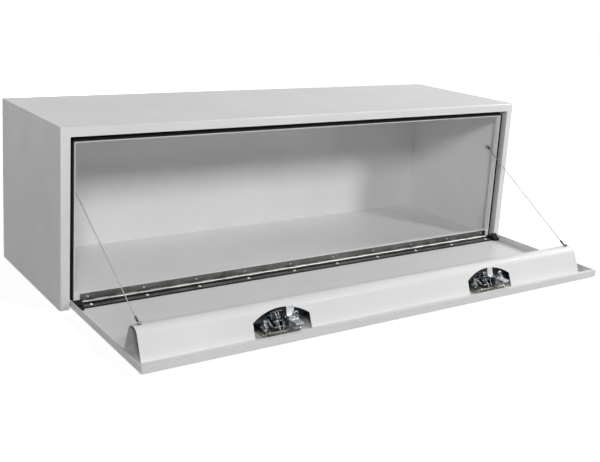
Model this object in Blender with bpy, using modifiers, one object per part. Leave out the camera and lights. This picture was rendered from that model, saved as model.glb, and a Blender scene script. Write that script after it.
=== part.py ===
"""Underbody truck tool box: a welded steel body with a flush, drop-down door.

The box lies along X, its front faces -Y and it stands on the XY plane, with the origin in the middle of
its underside. The door is hinged along its lower edge and lies open in front of the box, held by two
steel cables. Door pieces are modelled as on the closed door and hang on an empty on the hinge axis.
"""

import math

import bmesh
import bpy
from mathutils import Matrix, Vector

mm = 0.001

# Body
body_width = 1524 * mm
body_depth = 457 * mm
body_height = 457 * mm
body_sheet = 1.9 * mm
front_radius = 6 * mm
front_radius_steps = 3
front_flange = 25 * mm
recess_depth = 28 * mm
lip_inset = 42 * mm
lip_front = 12.3 * mm
sill_height = 34 * mm
sill_hem = 11 * mm
sill_hem_end_gap = 4 * mm

# Fits
touch_gap = 0.3 * mm
overrun = 2 * mm
weld_distance = 0.01 * mm

# Hinge along the lower edge of the opening
hinge_end = 28.5 * mm
axis_depth = 8.7 * mm
axis_height = 11.5 * mm
knuckle_radius = 3.3 * mm
knuckle_count = 37
knuckle_end_gap = 0.4 * mm
knuckle_steps = 8
leaf_sheet = 1.5 * mm
leaf_clearance = 0.6 * mm
body_leaf_width = 20.8 * mm
door_leaf_width = 28 * mm
pin_radius = 1.55 * mm
pin_head_radius = 2.6 * mm
pin_head_length = 1.2 * mm

# Rivets through the hinge leaves
rivet_end = 20.2 * mm
rivet_count = 10
rivet_shank_radius = 2 * mm
rivet_sides = 8
body_rivet_place = 11.2 * mm
body_rivet_head_radius = 3.2 * mm
body_rivet_head_height = 1.4 * mm
door_rivet_place = 20.2 * mm
door_rivet_head_radius = 4.8 * mm
door_rivet_head_height = 2.6 * mm
rivet_tail_radius = 3 * mm
rivet_tail_height = 1.2 * mm
rivet_crown_shares = (0.62, 0.8)

# Door
door_gap = 2.5 * mm
door_face_depth = 0.8 * mm
door_bottom = 9 * mm
door_sheet = 1.9 * mm
door_flange = 19.3 * mm
door_return = 12 * mm
door_return_end_gap = 3 * mm
door_radius = 3 * mm
door_radius_steps = 3

# Stiffener: an arched channel across the inside of the door
stiffener_inset = 48 * mm
stiffener_sheet = 1.9 * mm
stiffener_height = 70 * mm
stiffener_crown_radius = 26 * mm
stiffener_crown_steps = 12
stiffener_top_to_near_foot = 46 * mm
stiffener_near_run = 45 * mm
stiffener_far_run = 42 * mm
stiffener_foot = 13 * mm

# Notch in the stiffener at each latch
notch_width = 161 * mm
notch_shoulder = 35.2 * mm
notch_height = 58.5 * mm
notch_steps = 12
latch_offset = 345 * mm

# Rubber
seal_width = 12 * mm
seal_height = 6.9 * mm
seal_crown_steps = 5
gasket_overhang = 3 * mm
strip_width = 10 * mm
strip_height = 1.2 * mm
strip_clearance = 0.5 * mm
bumper_length = 19 * mm
bumper_height = 8.4 * mm
bumper_end_gap = 0.6 * mm
bumper_rib_height = 2.4 * mm
bumper_rib_width = 5 * mm
bumper_rib_shares = (0.12, 0.42, 0.72)

# Latch dish, pressed from stainless sheet and let into the door
dish_width = 102 * mm
dish_side = -6 * mm
dish_height = 65 * mm
dish_depth = 15.4 * mm
dish_sheet = 1.2 * mm
dish_flange = 9 * mm
dish_radius = 7 * mm
dish_flange_radius = 10 * mm
dish_back_radius = 2.5 * mm
dish_corner_steps = 3
dish_near_past_foot = 10 * mm

# Paddle in the dish, beside the lock
paddle_width = 54 * mm
paddle_side = 6 * mm
paddle_sheet = 1.6 * mm
paddle_reach = 35 * mm
paddle_overhang = 9.5 * mm
paddle_lip = 4 * mm
pivot_from_near = 14 * mm
pivot_above_face = 6 * mm
paddle_pin_radius = 1.8 * mm
paddle_pin_proud = 2.4 * mm
paddle_pin_clearance = 0.35 * mm
paddle_boss_radius = 3.4 * mm
paddle_boss_width = 12 * mm
paddle_edge = 0.5 * mm
paddle_web_share = 0.6
tail_width = 5 * mm
tail_reach = 20.6 * mm
tail_half_thickness = 2 * mm
tail_travel = 10.3 * mm
tail_slot_clearance = 1.5 * mm

# Bolt, with its lug, rod and spring, and the bracket that guides it
bolt_width = 22 * mm
bolt_side = 22 * mm
bolt_thickness = 7 * mm
bolt_lip_gap = 0.8 * mm
bolt_behind_seat = 0.7 * mm
bolt_throw = 9.5 * mm
bolt_slope = 6 * mm
bolt_lug_length = 8 * mm
bolt_lug_drop = 11 * mm
bolt_push_gap = 0.5 * mm
bolt_rod_radius = 2.2 * mm
bolt_rod_drop = 6.5 * mm
bolt_rod_length = 18.2 * mm
bracket_sheet = 2 * mm
bracket_clearance = 0.4 * mm
bracket_bridge_length = 19 * mm
bracket_bridge_from_near = 3.5 * mm
bracket_foot = 6 * mm
bracket_seam = 0.1 * mm
spring_length = 7.8 * mm
spring_radius = 3.6 * mm
spring_wire_radius = 0.55 * mm
spring_turn_count = 4
spring_steps = 9
spring_seat_gap = 0.3 * mm

# Lock beside the paddle
lock_radius = 7.5 * mm
lock_side = -37 * mm
lock_from_near = 40 * mm
lock_front_recess = 6 * mm
lock_length = 30 * mm
lock_collar_radius = 10 * mm
lock_collar_height = 3 * mm
lock_plug_radius = 5 * mm
lock_plug_gap = 0.4 * mm
lock_cam_reach = 14 * mm
lock_cam_width = 8 * mm
lock_cam_sheet = 2 * mm
lock_sides = 16
key_slot_width = 1.2 * mm
key_slot_length = 6 * mm
key_slot_depth = 3 * mm

# Door cables, from a stud on each side wall round the lip to a stud on the stiffener
cable_radius = 1.2 * mm
cable_steps = 64
fine_steps = 24
cable_gap = 0.3 * mm
wall_stud_depth = 90 * mm
wall_stud_height = 295 * mm
cable_lip_clearance = 5 * mm
cable_lip_height = 293 * mm
cable_lip_bend = 12 * mm
anchor_inset = 64 * mm
stud_radius = 2.4 * mm
stud_head_radius = 5.6 * mm
stud_head_height = 2.4 * mm
stud_standoff = 3.4 * mm
stud_nut_radius = 4.4 * mm
stud_nut_height = 2.6 * mm
stud_sides = 12
eye_radius = 4.3 * mm
eye_knee = 7.6 * mm
eye_rise = 4 * mm
eye_angles = (60, 95, 130, 165, 195, 230, 265, 300)
eye_spread_share = 1.3
stud_crown_share = 0.6
ferrule_radius = 2.9 * mm
ferrule_length = 12 * mm
ferrule_sides = 10

# Places that follow from the sizes above
front = -body_depth / 2
half_width = body_width / 2
opening_inset = front_flange + door_gap
door_half_width = half_width - opening_inset
hinge_length = 2 * (door_half_width - hinge_end)
axis_y = front + axis_depth
door_face = door_face_depth - axis_depth
door_inside = door_face + door_sheet
door_low = door_bottom - axis_height
door_high = body_height - opening_inset - axis_height
leaf_face = -knuckle_radius
stiffener_floor = door_inside + touch_gap
near_foot = door_high - stiffener_top_to_near_foot
crown_along = near_foot - stiffener_near_run
far_foot = crown_along - stiffener_far_run
crown_top = stiffener_floor + stiffener_height
stiffener_half = half_width - stiffener_inset
dish_near = near_foot + dish_near_past_foot
dish_far = dish_near - dish_height
dish_back = door_face + dish_depth
dish_front = door_face - touch_gap - dish_sheet
door_skin_overrun = (door_face - overrun, door_inside + overrun)
pivot_along = dish_near - pivot_from_near
pivot_deep = door_face + pivot_above_face
bolt_low = recess_depth + body_sheet + bolt_behind_seat - axis_depth
bolt_high = bolt_low + bolt_thickness
bolt_tip = body_height - lip_inset - bolt_lip_gap - axis_height
lug_near = pivot_along - tail_travel - tail_half_thickness - bolt_push_gap - bolt_throw
lug_far = lug_near - bolt_lug_length
rod_deep = bolt_low - bolt_rod_drop
bracket_floor = dish_back + touch_gap
bracket_tab = lug_far - spring_length - bracket_sheet
lock_along = dish_near - lock_from_near
lock_front = dish_front + lock_front_recess

for old in list(bpy.data.objects):
    bpy.data.objects.remove(old, do_unlink=True)

parts = bpy.data.collections.new("underbody_tool_box")
cutters = bpy.data.collections.new("cutters")
bpy.context.scene.collection.children.link(parts)
bpy.context.scene.collection.children.link(cutters)
cutters.hide_render = True


def finish(name, colour, metallic, roughness):
    material = bpy.data.materials.new(name)
    material.use_nodes = True
    shader = material.node_tree.nodes["Principled BSDF"]
    shader.inputs["Base Color"].default_value = (*colour, 1)
    shader.inputs["Metallic"].default_value = metallic
    shader.inputs["Roughness"].default_value = roughness
    return material


white_paint = finish("white_powder_coat", (0.78, 0.78, 0.78), 0, 0.35)
stainless = finish("brushed_stainless", (0.42, 0.43, 0.44), 1, 0.38)
polished = finish("polished_stainless", (0.55, 0.57, 0.6), 1, 0.22)
zinc = finish("bright_zinc", (0.7, 0.72, 0.74), 1, 0.25)
rubber = finish("black_rubber", (0.012, 0.012, 0.013), 0, 0.6)
steel_rope = finish("galvanised_rope", (0.45, 0.46, 0.47), 1, 0.4)


def place(mesh, name, material=None, parent=None, location=(0, 0, 0)):
    """An object of the part, or a cutter if it has no material."""
    obj = bpy.data.objects.new(name, mesh)
    obj.location = location
    obj.parent = parent
    if material is None:
        cutters.objects.link(obj)
        obj.hide_render = True
        obj.display_type = "WIRE"
    else:
        parts.objects.link(obj)
        mesh.materials.append(material)
    return obj


def mesh_of(shape, name):
    bmesh.ops.recalc_face_normals(shape, faces=shape.faces)
    mesh = bpy.data.meshes.new(name)
    shape.to_mesh(mesh)
    shape.free()
    return mesh


def add_box(shape, low, high):
    low, high = Vector(low), Vector(high)
    made = bmesh.ops.create_cube(shape, size=1)["verts"]
    bmesh.ops.scale(shape, vec=high - low, verts=made)
    bmesh.ops.translate(shape, vec=(low + high) / 2, verts=made)
    return made


def add_round(shape, start, end, radius, sides, end_radius=None):
    """A closed cylinder or cone between two points."""
    start, end = Vector(start), Vector(end)
    along = end - start
    turn = along.to_track_quat("Z", "Y").to_matrix()
    made = bmesh.ops.create_cone(
        shape,
        cap_ends=True,
        segments=sides,
        radius1=radius,
        radius2=radius if end_radius is None else end_radius,
        depth=along.length,
    )["verts"]
    bmesh.ops.rotate(shape, matrix=turn, verts=made)
    bmesh.ops.translate(shape, vec=(start + end) / 2, verts=made)
    return made


def box_object(name, low, high, material=None, parent=None):
    shape = bmesh.new()
    add_box(shape, low, high)
    return place(mesh_of(shape, name), name, material, parent)


def round_object(name, start, end, radius, sides, material=None, parent=None):
    shape = bmesh.new()
    add_round(shape, start, end, radius, sides)
    return place(mesh_of(shape, name), name, material, parent)


def combine(target, other, operation):
    modifier = target.modifiers.new(operation.lower() + "_" + other.name, "BOOLEAN")
    modifier.operation = operation
    modifier.object = other
    modifier.solver = "EXACT"


def cut(target, cutter):
    combine(target, cutter, "DIFFERENCE")


def join(target, other):
    combine(target, other, "UNION")


def thicken(obj, thickness):
    """Gives an open sheet its thickness, behind the face that its normals point out of."""
    modifier = obj.modifiers.new("sheet", "SOLIDIFY")
    modifier.thickness = thickness
    modifier.offset = -1
    modifier.use_even_offset = True
    modifier.use_quality_normals = True


def round_edges(obj, width, steps=1, angle=40):
    modifier = obj.modifiers.new("edges", "BEVEL")
    modifier.width = width
    modifier.segments = steps
    modifier.limit_method = "ANGLE"
    modifier.angle_limit = math.radians(angle)


def prism(shape, outline, start, end):
    """A closed outline of (depth, height) points, drawn out along X."""
    first = [shape.verts.new((start, *point)) for point in outline]
    last = [shape.verts.new((end, *point)) for point in outline]
    shape.faces.new(first)
    shape.faces.new(last[::-1])
    for i in range(len(outline)):
        j = (i + 1) % len(outline)
        shape.faces.new((first[j], first[i], last[i], last[j]))


def frame_legs(shape, section, bottom):
    """A section of (inset, depth) points carried up the left side, across the top and down the right side."""
    rings = []
    for inset, depth in section:
        side, top = half_width - inset, body_height - inset
        rings.append(
            [
                shape.verts.new((x, front + depth, z))
                for x, z in ((-side, bottom), (-side, top), (side, top), (side, bottom))
            ]
        )
    return rings


def skin(shape, rings, closed=False):
    """The faces between neighbouring rings."""
    pairs = list(zip(rings, rings[1:]))
    if closed:
        pairs.append((rings[-1], rings[0]))
    for a, b in pairs:
        for i in range(3):
            shape.faces.new((a[i], a[i + 1], b[i + 1], b[i]))


def facing(shape, point, normal):
    """Turns every face of an open sheet if the one nearest to a point faces away from normal."""
    bmesh.ops.recalc_face_normals(shape, faces=shape.faces)
    shape.normal_update()
    nearest = min(shape.faces, key=lambda face: (face.calc_center_median() - Vector(point)).length)
    if nearest.normal.dot(Vector(normal)) < 0:
        bmesh.ops.reverse_faces(shape, faces=shape.faces)


def edge_between(shape, chosen, radius, steps):
    bmesh.ops.bevel(
        shape,
        geom=chosen,
        offset=radius,
        offset_type="OFFSET",
        segments=steps,
        profile=0.5,
        affect="EDGES",
        clamp_overlap=True,
    )


def make_body():
    """One folded and welded shell: five walls, the front frame with its recess and lip, and the sill."""
    shape = bmesh.new()
    section = (
        (0, body_depth),
        (0, 0),
        (front_flange, 0),
        (front_flange, recess_depth),
        (lip_inset - body_sheet, recess_depth),
        (lip_inset - body_sheet, lip_front),
    )
    rings = frame_legs(shape, section, 0)
    skin(shape, rings)
    shape.faces.new(rings[0])
    left = [ring[0] for ring in rings]
    right = [ring[3] for ring in rings]
    shape.faces.new(left + right[::-1])

    lip = rings[-1]
    lip_left, lip_right = (
        next(edge for edge in lip[i].link_edges if edge.other_vert(lip[i]) is lip[j])
        for i, j in ((0, 1), (3, 2))
    )
    share_up = sill_height / (body_height - lip_inset + body_sheet)
    sill_left = bmesh.utils.edge_split(lip_left, lip[0], share_up)[1]
    sill_right = bmesh.utils.edge_split(lip_right, lip[3], share_up)[1]
    hem_side = half_width - lip_inset - sill_hem_end_gap
    hem_left = shape.verts.new((-hem_side, front + lip_front, sill_height))
    hem_right = shape.verts.new((hem_side, front + lip_front, sill_height))
    shape.faces.new((lip[0], lip[3], sill_right, hem_right, hem_left, sill_left))
    back = [shape.verts.new((x, front + lip_front + sill_hem, sill_height)) for x in (hem_side, -hem_side)]
    shape.faces.new((hem_left, hem_right, *back))

    facing(shape, (0, body_depth / 2, body_height / 2), (0, 1, 0))
    outer = [
        edge
        for edge in shape.edges
        if len(edge.link_faces) == 2
        and all(abs(v.co.y - front) < touch_gap and v.co.z > -touch_gap for v in edge.verts)
        and all(max(abs(v.co.x) - half_width, v.co.z - body_height) > -touch_gap for v in edge.verts)
        and not all(v.co.z < touch_gap for v in edge.verts)
    ]
    edge_between(shape, outer, front_radius, front_radius_steps)
    body = place(mesh_of_sheet(shape, "body_shell"), "body_shell", white_paint)
    thicken(body, body_sheet)
    holes = bmesh.new()
    for along in rivet_places():
        high = axis_height + body_rivet_place
        add_round(
            holes,
            (along, front + lip_front - overrun, high),
            (along, front + lip_front + body_sheet + overrun, high),
            rivet_shank_radius + touch_gap,
            rivet_sides,
        )
    cut(body, place(mesh_of(holes, "sill_rivet_holes"), "sill_rivet_holes"))
    return body


def mesh_of_sheet(shape, name):
    """An open sheet keeps the normals that it was given."""
    mesh = bpy.data.meshes.new(name)
    shape.to_mesh(mesh)
    shape.free()
    return mesh


def rivet_places():
    span = hinge_length - 2 * rivet_end
    return [span * (i / (rivet_count - 1) - 1 / 2) for i in range(rivet_count)]


def make_pivot():
    """The hinge axis. The door is drawn closed, and a quarter turn lays it open."""
    pivot = bpy.data.objects.new("door_pivot", None)
    pivot.location = (0, axis_y, axis_height)
    pivot.rotation_euler = (math.radians(90), 0, 0)
    parts.objects.link(pivot)
    return pivot


def make_door(pivot):
    shape = bmesh.new()
    rim = door_face + door_flange
    side = door_half_width
    low, high = door_low, door_high
    corners = ((-side, low), (-side, high), (side, high), (side, low))
    face = [shape.verts.new((x, door_face, z)) for x, z in corners]
    edge = [shape.verts.new((x, rim, z)) for x, z in corners]
    shape.faces.new(face)
    for i in (0, 2):
        shape.faces.new((face[i], face[i + 1], edge[i + 1], edge[i]))
    inner = side - door_return_end_gap
    ends = [shape.verts.new((x, rim, high)) for x in (-inner, inner)]
    shape.faces.new((face[1], face[2], edge[2], ends[1], ends[0], edge[1]))
    back = [shape.verts.new((x, rim, high - door_return)) for x in (inner, -inner)]
    shape.faces.new((ends[0], ends[1], *back))
    facing(shape, (0, door_face, high / 2), (0, -1, 0))
    bends = [shape.edges.get((face[i], face[i + 1])) for i in range(3)]
    bends += [shape.edges.get((face[i], edge[i])) for i in (1, 2)]
    edge_between(shape, bends, door_radius, door_radius_steps)
    door = place(mesh_of_sheet(shape, "door_panel"), "door_panel", white_paint, pivot)
    thicken(door, door_sheet)

    cutter = bmesh.new()
    for along in rivet_places():
        add_round(
            cutter,
            (along, door_face - overrun, door_rivet_place),
            (along, door_inside + overrun, door_rivet_place),
            rivet_shank_radius + touch_gap,
            rivet_sides,
        )
    cut(door, place(mesh_of(cutter, "door_rivet_holes"), "door_rivet_holes", None, pivot))
    for side_name, centre in latch_sides():
        hole = bmesh.new()
        radius = dish_radius + touch_gap
        rings = [dish_ring(hole, centre, deep, touch_gap, radius) for deep in door_skin_overrun]
        loft(hole, rings, True, True)
        name = side_name + "_dish_opening"
        cut(door, place(mesh_of(hole, name), name, None, pivot))


def latch_sides():
    return (("left", -latch_offset), ("right", latch_offset))


def rounded_ring(shape, low, high, deep, radius):
    """A rounded rectangle across the door, from (x, along) low to high, as a ring of vertices."""
    corners = (
        (high[0] - radius, high[1] - radius, 0),
        (low[0] + radius, high[1] - radius, 90),
        (low[0] + radius, low[1] + radius, 180),
        (high[0] - radius, low[1] + radius, 270),
    )
    ring = []
    for x, along, start in corners:
        for step in range(dish_corner_steps + 1):
            angle = math.radians(start + 90 * step / dish_corner_steps)
            across, up = radius * math.cos(angle), radius * math.sin(angle)
            ring.append(shape.verts.new((x + across, deep, along + up)))
    return ring


def dish_ring(shape, centre, deep, growth, radius):
    middle = centre + dish_side
    half = dish_width / 2 + growth
    return rounded_ring(
        shape, (middle - half, dish_far - growth), (middle + half, dish_near + growth), deep, radius
    )


def loft(shape, rings, close_first, close_last):
    for a, b in zip(rings, rings[1:]):
        for i in range(len(a)):
            j = (i + 1) % len(a)
            shape.faces.new((a[i], a[j], b[j], b[i]))
    if close_first:
        shape.faces.new(rings[0])
    if close_last:
        shape.faces.new(rings[-1])


def web_lean(run, rise, radius):
    """The lean from upright of a web from a foot to the crown's arc, which it meets as a tangent."""
    return math.acos(radius / math.hypot(run, rise)) - math.atan2(rise, run)


def stiffener_section():
    """(depth, height) points of the outer face, from the near foot over the crown to the far foot."""
    centre = crown_top - stiffener_crown_radius
    rise = centre - stiffener_floor - stiffener_sheet
    near = web_lean(stiffener_near_run, rise, stiffener_crown_radius)
    far = web_lean(stiffener_far_run, rise, stiffener_crown_radius)
    top = stiffener_floor + stiffener_sheet
    points = [(top, near_foot + stiffener_foot), (top, near_foot)]
    for step in range(stiffener_crown_steps + 1):
        share = step / stiffener_crown_steps
        angle = near + share * (math.pi - near - far)
        points.append(
            (
                centre + stiffener_crown_radius * math.sin(angle),
                crown_along + stiffener_crown_radius * math.cos(angle),
            )
        )
    return points + [(top, far_foot), (top, far_foot - stiffener_foot)]


def make_stiffener(pivot):
    shape = bmesh.new()
    lines = [
        [shape.verts.new((x, *point)) for point in stiffener_section()]
        for x in (-stiffener_half, stiffener_half)
    ]
    for i in range(len(lines[0]) - 1):
        shape.faces.new((lines[0][i], lines[0][i + 1], lines[1][i + 1], lines[1][i]))
    facing(shape, (0, crown_top, crown_along), (0, 1, 0))
    stiffener = place(mesh_of_sheet(shape, "door_stiffener"), "door_stiffener", white_paint, pivot)
    thicken(stiffener, stiffener_sheet)
    for side_name, centre in latch_sides():
        name = side_name + "_notch"
        half = notch_width / 2
        rise = notch_height - notch_shoulder
        arch_radius = (half**2 + rise**2) / (2 * rise)
        arch_centre = stiffener_floor + notch_height - arch_radius
        outline = [(centre - half, stiffener_floor - overrun), (centre + half, stiffener_floor - overrun)]
        for step in range(notch_steps + 1):
            share = step / notch_steps
            across = half * (1 - 2 * share)
            outline.append((centre + across, arch_centre + math.sqrt(arch_radius**2 - across**2)))
        cutter = bmesh.new()
        near = [cutter.verts.new((x, deep, crown_along)) for x, deep in outline]
        away = [cutter.verts.new((x, deep, near_foot + stiffener_foot + overrun)) for x, deep in outline]
        cutter.faces.new(near)
        cutter.faces.new(away[::-1])
        for i in range(len(outline)):
            j = (i + 1) % len(outline)
            cutter.faces.new((near[j], near[i], away[i], away[j]))
        cut(stiffener, place(mesh_of(cutter, name), name, None, pivot))
    anchors = bmesh.new()
    for x in (-1, 1):
        add_round(
            anchors,
            (x * (half_width - anchor_inset), crown_top - stiffener_sheet - overrun, crown_along),
            (x * (half_width - anchor_inset), crown_top + overrun, crown_along),
            stud_radius + touch_gap,
            stud_sides,
        )
    cut(stiffener, place(mesh_of(anchors, "anchor_holes"), "anchor_holes", None, pivot))
    return stiffener


def knuckle_outline(tail):
    """A leaf rolled round the pin: (away, along) points, with the leaf running to +along at -away."""
    inner = knuckle_radius - leaf_sheet
    start, turn = -math.pi / 2, -math.radians(285)
    outline = [(-knuckle_radius, tail)]
    for step in range(knuckle_steps + 1):
        angle = start + turn * step / knuckle_steps
        outline.append((knuckle_radius * math.sin(angle), knuckle_radius * math.cos(angle)))
    for step in range(knuckle_steps + 1):
        angle = start + turn * (1 - step / knuckle_steps)
        outline.append((inner * math.sin(angle), inner * math.cos(angle)))
    outline.append((-inner, tail))
    return outline


def make_leaf(name, width, first, flip, parent, location, hole_place):
    """A hinge leaf with every other knuckle, beginning with number first.

    The leaf is drawn as the door's, which lies on the door's inside; flip mirrors it to the body's."""
    start = knuckle_radius + leaf_clearance
    low, high = leaf_face, leaf_face + leaf_sheet
    if flip:
        low, high = -high, -low
    half = hinge_length / 2
    leaf = box_object(name, (-half, low, start), (half, high, width), stainless, parent)
    leaf.location = location
    rolls = bmesh.new()
    pitch = hinge_length / knuckle_count
    for number in range(first, knuckle_count, 2):
        begin = -half + number * pitch
        outline = knuckle_outline(start + overrun)
        if flip:
            outline = [(-away, along) for away, along in outline]
        prism(rolls, outline, begin + knuckle_end_gap / 2, begin + pitch - knuckle_end_gap / 2)
    rolled = place(mesh_of(rolls, name + "_knuckles"), name + "_knuckles", None, parent)
    rolled.location = location
    join(leaf, rolled)
    holes = bmesh.new()
    for along in rivet_places():
        add_round(
            holes,
            (along, low - overrun, hole_place),
            (along, high + overrun, hole_place),
            rivet_shank_radius + touch_gap,
            rivet_sides,
        )
    hole = place(mesh_of(holes, name + "_holes"), name + "_holes", None, parent)
    hole.location = location
    cut(leaf, hole)
    return leaf


def make_hinge(pivot):
    make_leaf("hinge_door_leaf", door_leaf_width, 1, False, pivot, (0, 0, 0), door_rivet_place)
    make_leaf(
        "hinge_body_leaf", body_leaf_width, 0, True, None, (0, axis_y, axis_height), body_rivet_place
    )
    half = hinge_length / 2 + touch_gap
    end = half + pin_head_length
    profile = [
        (0, end),
        (pin_head_radius, end),
        (pin_head_radius, half),
        (pin_radius, half),
        (pin_radius, -half),
        (pin_head_radius, -half),
        (pin_head_radius, -end),
        (0, -end),
    ]
    turn = (0, math.radians(90), 0)
    lathe("hinge_pin", profile, rivet_sides, stainless, None, (0, axis_y, axis_height), turn)


def lathe(name, profile, sides, material, parent, location, rotation):
    """A turned piece: (radius, height) points from the top down, turned about its own Z."""
    mesh = bpy.data.meshes.new(name)
    mesh.from_pydata(
        [(radius, 0, height) for radius, height in profile],
        [(i, i + 1) for i in range(len(profile) - 1)],
        [],
    )
    obj = place(mesh, name, material, parent, location)
    obj.rotation_euler = rotation
    screw = obj.modifiers.new("turn", "SCREW")
    screw.steps = screw.render_steps = sides
    screw.use_merge_vertices = True
    screw.merge_threshold = weld_distance
    screw.use_smooth_shade = True
    return obj


def rivet_profile(head_radius, head_height, grip):
    """From the crown of the head down to the flat tail, with the seat of the head at height 0."""
    return [
        (0, head_height),
        (head_radius * rivet_crown_shares[0], head_height * rivet_crown_shares[1]),
        (head_radius, 0),
        (rivet_shank_radius, 0),
        (rivet_shank_radius, -grip),
        (rivet_tail_radius, -grip),
        (rivet_tail_radius, -grip - rivet_tail_height),
        (0, -grip - rivet_tail_height),
    ]


def make_rivets(pivot):
    body_grip = leaf_sheet + body_sheet + 3 * touch_gap
    seat = front + lip_front - touch_gap - leaf_sheet - touch_gap
    for number, along in enumerate(rivet_places(), 1):
        lathe(
            f"body_rivet_{number:02d}",
            rivet_profile(body_rivet_head_radius, body_rivet_head_height, body_grip),
            rivet_sides,
            zinc,
            None,
            (along, seat, axis_height + body_rivet_place),
            (math.radians(90), 0, 0),
        )
    top = leaf_face + leaf_sheet + touch_gap
    door_grip = top - door_face + touch_gap
    for number, along in enumerate(rivet_places(), 1):
        lathe(
            f"door_rivet_{number:02d}",
            rivet_profile(door_rivet_head_radius, door_rivet_head_height, door_grip),
            rivet_sides,
            white_paint,
            pivot,
            (along, top, door_rivet_place),
            (math.radians(-90), 0, 0),
        )


def make_rubber(pivot):
    """The bulb seal in the recess, and the strip, gasket and corner bumpers at the hinge."""
    shape = bmesh.new()
    middle = (front_flange + lip_inset) / 2
    seat = recess_depth - touch_gap
    half = seal_width / 2
    crown = seal_height - half
    section = [(middle - half, seat), (middle + half, seat)]
    for step in range(seal_crown_steps + 1):
        angle = math.pi * step / seal_crown_steps
        section.append((middle + half * math.cos(angle), seat - crown - half * math.sin(angle)))
    rings = frame_legs(shape, section, body_sheet)
    skin(shape, rings, closed=True)
    shape.faces.new([ring[0] for ring in rings])
    shape.faces.new([ring[3] for ring in rings][::-1])
    place(mesh_of(shape, "door_seal"), "door_seal", rubber)

    half = hinge_length / 2
    gasket = box_object(
        "hinge_gasket",
        (-half, door_inside + touch_gap, door_low),
        (half, leaf_face - touch_gap, door_leaf_width + gasket_overhang),
        rubber,
        pivot,
    )
    holes = bmesh.new()
    for along in rivet_places():
        add_round(
            holes,
            (along, door_inside - overrun, door_rivet_place),
            (along, leaf_face + overrun, door_rivet_place),
            rivet_shank_radius + touch_gap,
            rivet_sides,
        )
    cut(gasket, place(mesh_of(holes, "gasket_holes"), "gasket_holes", None, pivot))
    start = knuckle_radius + strip_clearance
    top = leaf_face + leaf_sheet + touch_gap
    box_object(
        "hinge_strip", (-half, top, start), (half, top + strip_height, start + strip_width), rubber, pivot
    )
    inner = half + pin_head_length + 2 * touch_gap + bumper_end_gap
    wide = door_half_width - door_sheet - bumper_end_gap
    for side_name, turn in (("left", -1), ("right", 1)):
        shape = bmesh.new()
        low = door_inside + touch_gap
        ends = sorted((turn * inner, turn * wide))
        add_box(shape, (ends[0], low, 0), (ends[1], low + bumper_height - bumper_rib_height, bumper_length))
        name = side_name + "_corner_bumper"
        bumper = place(mesh_of(shape, name), name, rubber, pivot)
        ribs = bmesh.new()
        for rib_share in bumper_rib_shares:
            start = bumper_length * rib_share
            add_round(
                ribs,
                (ends[0] + touch_gap, low + bumper_height - bumper_rib_height, start + bumper_rib_width / 2),
                (ends[1] - touch_gap, low + bumper_height - bumper_rib_height, start + bumper_rib_width / 2),
                bumper_rib_height,
                rivet_sides,
            )
        join(bumper, place(mesh_of(ribs, name + "_ribs"), name + "_ribs", None, pivot))


def cut_round(target, name, start, end, radius, sides, parent):
    cut(target, round_object(name, start, end, radius, sides, None, parent))


def cut_box(target, name, low, high, parent):
    cut(target, box_object(name, low, high, None, parent))


def make_dish(side_name, centre, pivot):
    """A pressed tray: a flange on the door's outer face, and a well that opens outwards."""
    shape = bmesh.new()
    back_of_flange = door_face - touch_gap
    spring_line = dish_back - dish_back_radius
    rings = [
        dish_ring(shape, centre, back_of_flange, dish_flange, dish_flange_radius),
        dish_ring(shape, centre, back_of_flange, 0, dish_radius),
        dish_ring(shape, centre, spring_line, 0, dish_radius),
        dish_ring(shape, centre, dish_back, -dish_back_radius, dish_radius - dish_back_radius),
    ]
    loft(shape, rings, False, True)
    facing(shape, (centre + dish_side, dish_back, dish_far + dish_height / 2), (0, 1, 0))
    name = side_name + "_latch_dish"
    dish = place(mesh_of_sheet(shape, name), name, polished, pivot)
    thicken(dish, dish_sheet)
    half_slot = tail_width / 2 + tail_slot_clearance
    swing = tail_travel * (dish_back - pivot_deep) / tail_reach
    cut_box(
        dish,
        side_name + "_tail_slot",
        (centre + bolt_side - half_slot, spring_line, pivot_along - swing - tail_half_thickness * 2),
        (centre + bolt_side + half_slot, dish_back + overrun, pivot_along + tail_half_thickness * 2),
        pivot,
    )
    cut_round(
        dish,
        side_name + "_lock_hole",
        (centre + lock_side, spring_line, lock_along),
        (centre + lock_side, dish_back + overrun, lock_along),
        lock_radius + touch_gap,
        lock_sides,
        pivot,
    )
    cut_round(
        dish,
        side_name + "_paddle_pin_holes",
        (centre + dish_side - dish_width / 2 - overrun, pivot_deep, pivot_along),
        (centre + dish_side + dish_width / 2 + overrun, pivot_deep, pivot_along),
        paddle_pin_radius + touch_gap,
        stud_sides,
        pivot,
    )


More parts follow.
